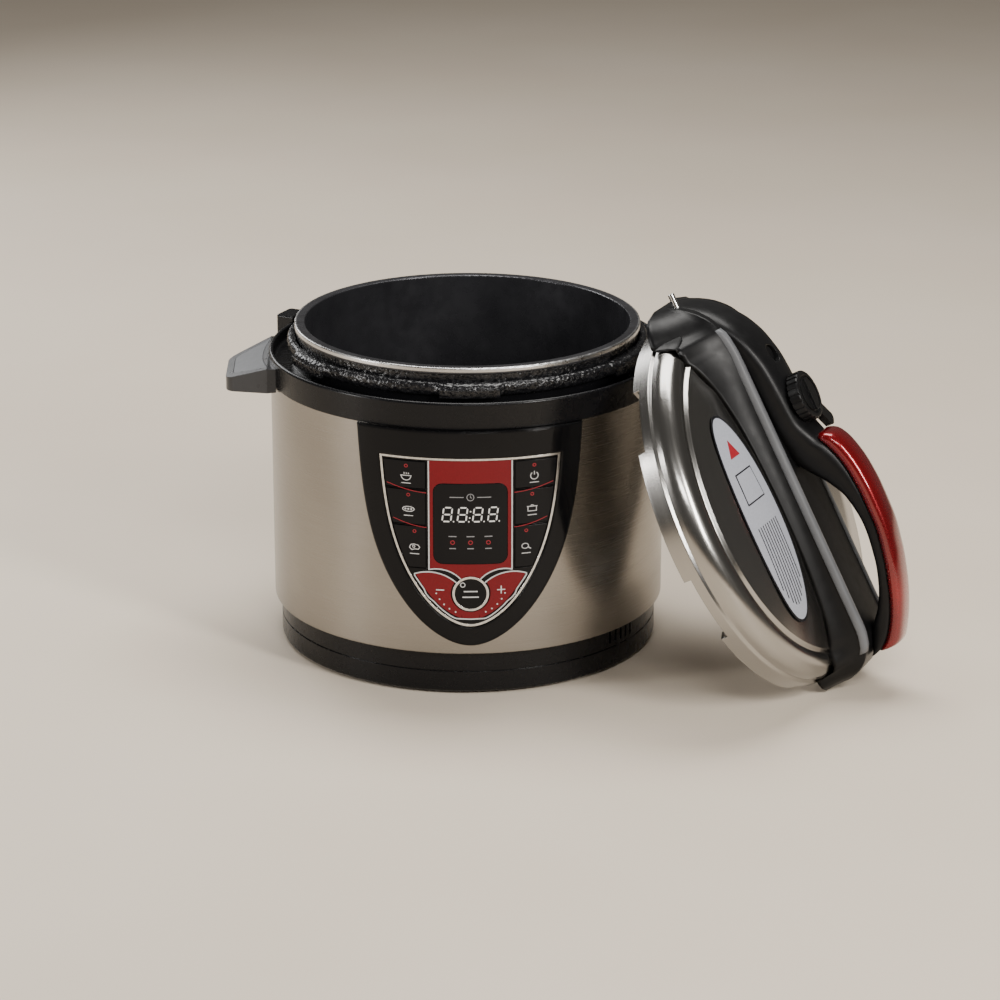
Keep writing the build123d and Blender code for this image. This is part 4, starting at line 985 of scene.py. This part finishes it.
def film(name, look, outline, lift):
    """A thin sheet lying on the lid's dome; the outline is about the label's middle."""
    mesh = bmesh.new()
    mesh.faces.new([mesh.verts.new(((LABEL_U + x) * MM, (LABEL_V + y) * MM, 0)) for x, y in outline])
    for k in range(-12, 13):
        for normal in ((1, 0, 0), (0, 1, 0)):
            spot = Vector((LABEL_U, LABEL_V, 0)) * MM + Vector(normal) * k * 7 * MM
            parts = mesh.verts[:] + mesh.edges[:] + mesh.faces[:]
            bmesh.ops.bisect_plane(mesh, geom=parts, plane_co=spot, plane_no=normal)
    bmesh.ops.triangulate(mesh, faces=mesh.faces[:])
    for v in mesh.verts:
        v.co.z = (lid_height(v.co.xy.length / MM) + lift) * MM
    top = bmesh.ops.extrude_face_region(mesh, geom=mesh.faces[:], use_keep_orig=True)
    for v in top["geom"]:
        if isinstance(v, bmesh.types.BMVert):
            v.co.z += FILM * MM
    bmesh.ops.transform(mesh, matrix=lid_frame, verts=mesh.verts[:])
    bmesh.ops.recalc_face_normals(mesh, faces=mesh.faces[:])
    return finished(name, mesh, mats[look], "lid")


def lid_label():
    """Oval label beside the cover, with a dark border and plain marks."""
    def ellipse(a, b, count=72):
        turns = [2 * math.pi * k / count for k in range(count)]
        return [(a * math.cos(turn), b * math.sin(turn)) for turn in turns]

    half_l, half_w = 72.2, 23.4
    border = film("label_border", "label_line", ellipse(74, 25.2), 0.35)
    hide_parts("warning_label")
    film("label_film", "label", ellipse(half_l, half_w), 0.48)
    print_lift = 0.6
    for k in range(9):
        row = -14.0 + k * 3.5
        reach = 72 * math.sqrt(max(0.0, 1 - (row / half_w) ** 2)) - 10
        near, far = row - 0.45, row + 0.45
        film(f"label_bar_{k}", "label_line", [(4, near), (reach, near), (reach, far), (4, far)], print_lift)
    film("label_mark", "icon_red", [(-56, 0), (-44, -7), (-44, 7)], print_lift)
    frame_outline = [(-34, -12), (-12, -13.5), (-12, 13.5), (-34, 12)]
    film("label_panel", "label_line", frame_outline, print_lift)
    film("label_panel_face", "label", [(-33, -11), (-13, -12.4), (-13, 12.4), (-33, 11)], 0.74)


FLANGE_Z, FLANGE_HALF_H = 211.0, 4.6
FLANGE_IN_R, FLANGE_OUT_R = 120.2, 123.4
TOOTH_REACH = 3.2                       # how far the teeth stand out
TOOTH_PITCH_DEG, TOOTH_HALF_DEG, TOOTH_RAMP_DEG = 60, 8.0, 3.0


def hammered_flange():
    """Lumpy enamelled roll over the outer pot's bayonet flange."""
    rings = []
    around, section = 540, 20
    for k in range(around):
        angle = 2 * math.pi * k / around
        half_pitch = TOOTH_PITCH_DEG / 2
        off_tooth = abs((math.degrees(angle) + 90 + half_pitch) % TOOTH_PITCH_DEG - half_pitch)
        ramp = min(1.0, max(0.0, (off_tooth - TOOTH_HALF_DEG) / TOOTH_RAMP_DEG))
        out = FLANGE_OUT_R + TOOTH_REACH * (1 - ramp)
        ring = []
        for j in range(section):
            turn = 2 * math.pi * j / section
            c, s = math.cos(turn), math.sin(turn)
            r = FLANGE_IN_R + (out - FLANGE_IN_R) * math.copysign(abs(c) ** 0.8, c)
            z = FLANGE_Z + FLANGE_HALF_H * math.copysign(abs(s) ** 0.8, s)
            spot = Vector((r * math.cos(angle), r * math.sin(angle), z))
            lump = mathutils.noise.noise(spot * 0.7) * 0.3 + mathutils.noise.noise(spot * 1.4) * 0.22
            r += lump * c
            z += lump * s * 0.8
            ring.append((r * math.cos(angle), r * math.sin(angle), z))
        rings.append(ring)
    loft("flange_enamel", rings, mats["hammered"], "base", closed=True)


lid_shells()
lid_label()
hammered_flange()


# ---- Studio ------------------------------------------------------------------
def look_at(obj, target):
    obj.rotation_mode = "QUATERNION"
    obj.rotation_quaternion = (Vector(target) - obj.location).to_track_quat("-Z", "Y")


def camera():
    """Long lens a little above the pot's rim, level with the panel."""
    distance = 2.437
    turn = Matrix.Rotation(math.radians(-1.21), 4, "Z")
    tilt = math.radians(19.05)
    target = turn @ Vector((22.3, 0, 93.0)) * MM
    back = turn @ Vector((0, -math.cos(tilt), math.sin(tilt)))
    cam = bpy.data.objects.new("camera", bpy.data.cameras.new("camera"))
    cam.data.sensor_width = 36.0
    cam.data.lens = 126.0
    cam.location = target + back * distance
    cam.data.clip_end = 20
    bpy.context.scene.collection.objects.link(cam)
    look_at(cam, target)
    bpy.context.scene.camera = cam


def floor():
    """Plain pale floor with a faint mottle."""
    s = Shader("floor_pale")
    mottle = s.spread(s.noise(3, 3), 0.3, 0.7, 0.0, 1.0)
    s.set(base_color=s.mix(mottle, rgb(0.72, 0.62, 0.5), rgb(0.76, 0.665, 0.545)))
    s.set(roughness=0.6)
    mesh = bpy.data.meshes.new("floor")
    half = 6.0
    corners = [(-half, -half, 0), (half, -half, 0), (half, half, 0), (-half, half, 0)]
    mesh.from_pydata(corners, [], [(0, 1, 2, 3)])
    obj = bpy.data.objects.new("floor", mesh)
    mesh.materials.append(s.mat)
    bpy.context.scene.collection.objects.link(obj)


def softbox(name, place, target, size, power, colour=(1, 1, 1)):
    light = bpy.data.lights.new(name, "AREA")
    light.shape = "RECTANGLE"
    light.size, light.size_y = size
    light.energy = power
    light.color = colour
    obj = bpy.data.objects.new(name, light)
    obj.location = place
    bpy.context.scene.collection.objects.link(obj)
    look_at(obj, target)


def studio():
    world = bpy.data.worlds.new("studio")
    bpy.context.scene.world = world
    world.use_nodes = True
    sky = world.node_tree.nodes["Background"]
    sky.inputs[0].default_value = rgb(1.0, 0.95, 0.88)
    sky.inputs[1].default_value = 0.1
    body = (0.0, 0, 0.12)
    lid = (0.19, -0.02, 0.13)
    softbox("key", (0.95, -1.15, 0.95), body, (0.22, 0.7), 20, (1.0, 0.97, 0.93))
    softbox("strip_left", (-1.3, -0.55, 0.5), body, (0.14, 0.8), 9, (1.0, 0.98, 0.96))
    softbox("top", (0.1, 0.45, 1.7), body, (1.3, 0.8), 32, (1.0, 0.98, 0.95))
    softbox("rear", (-0.9, 1.4, 0.9), body, (0.8, 0.7), 10)
    softbox("lid_side", (0.2, -1.9, 1.6), lid, (0.7, 0.25), 14, (1.0, 0.98, 0.96))


camera()
floor()
studio()
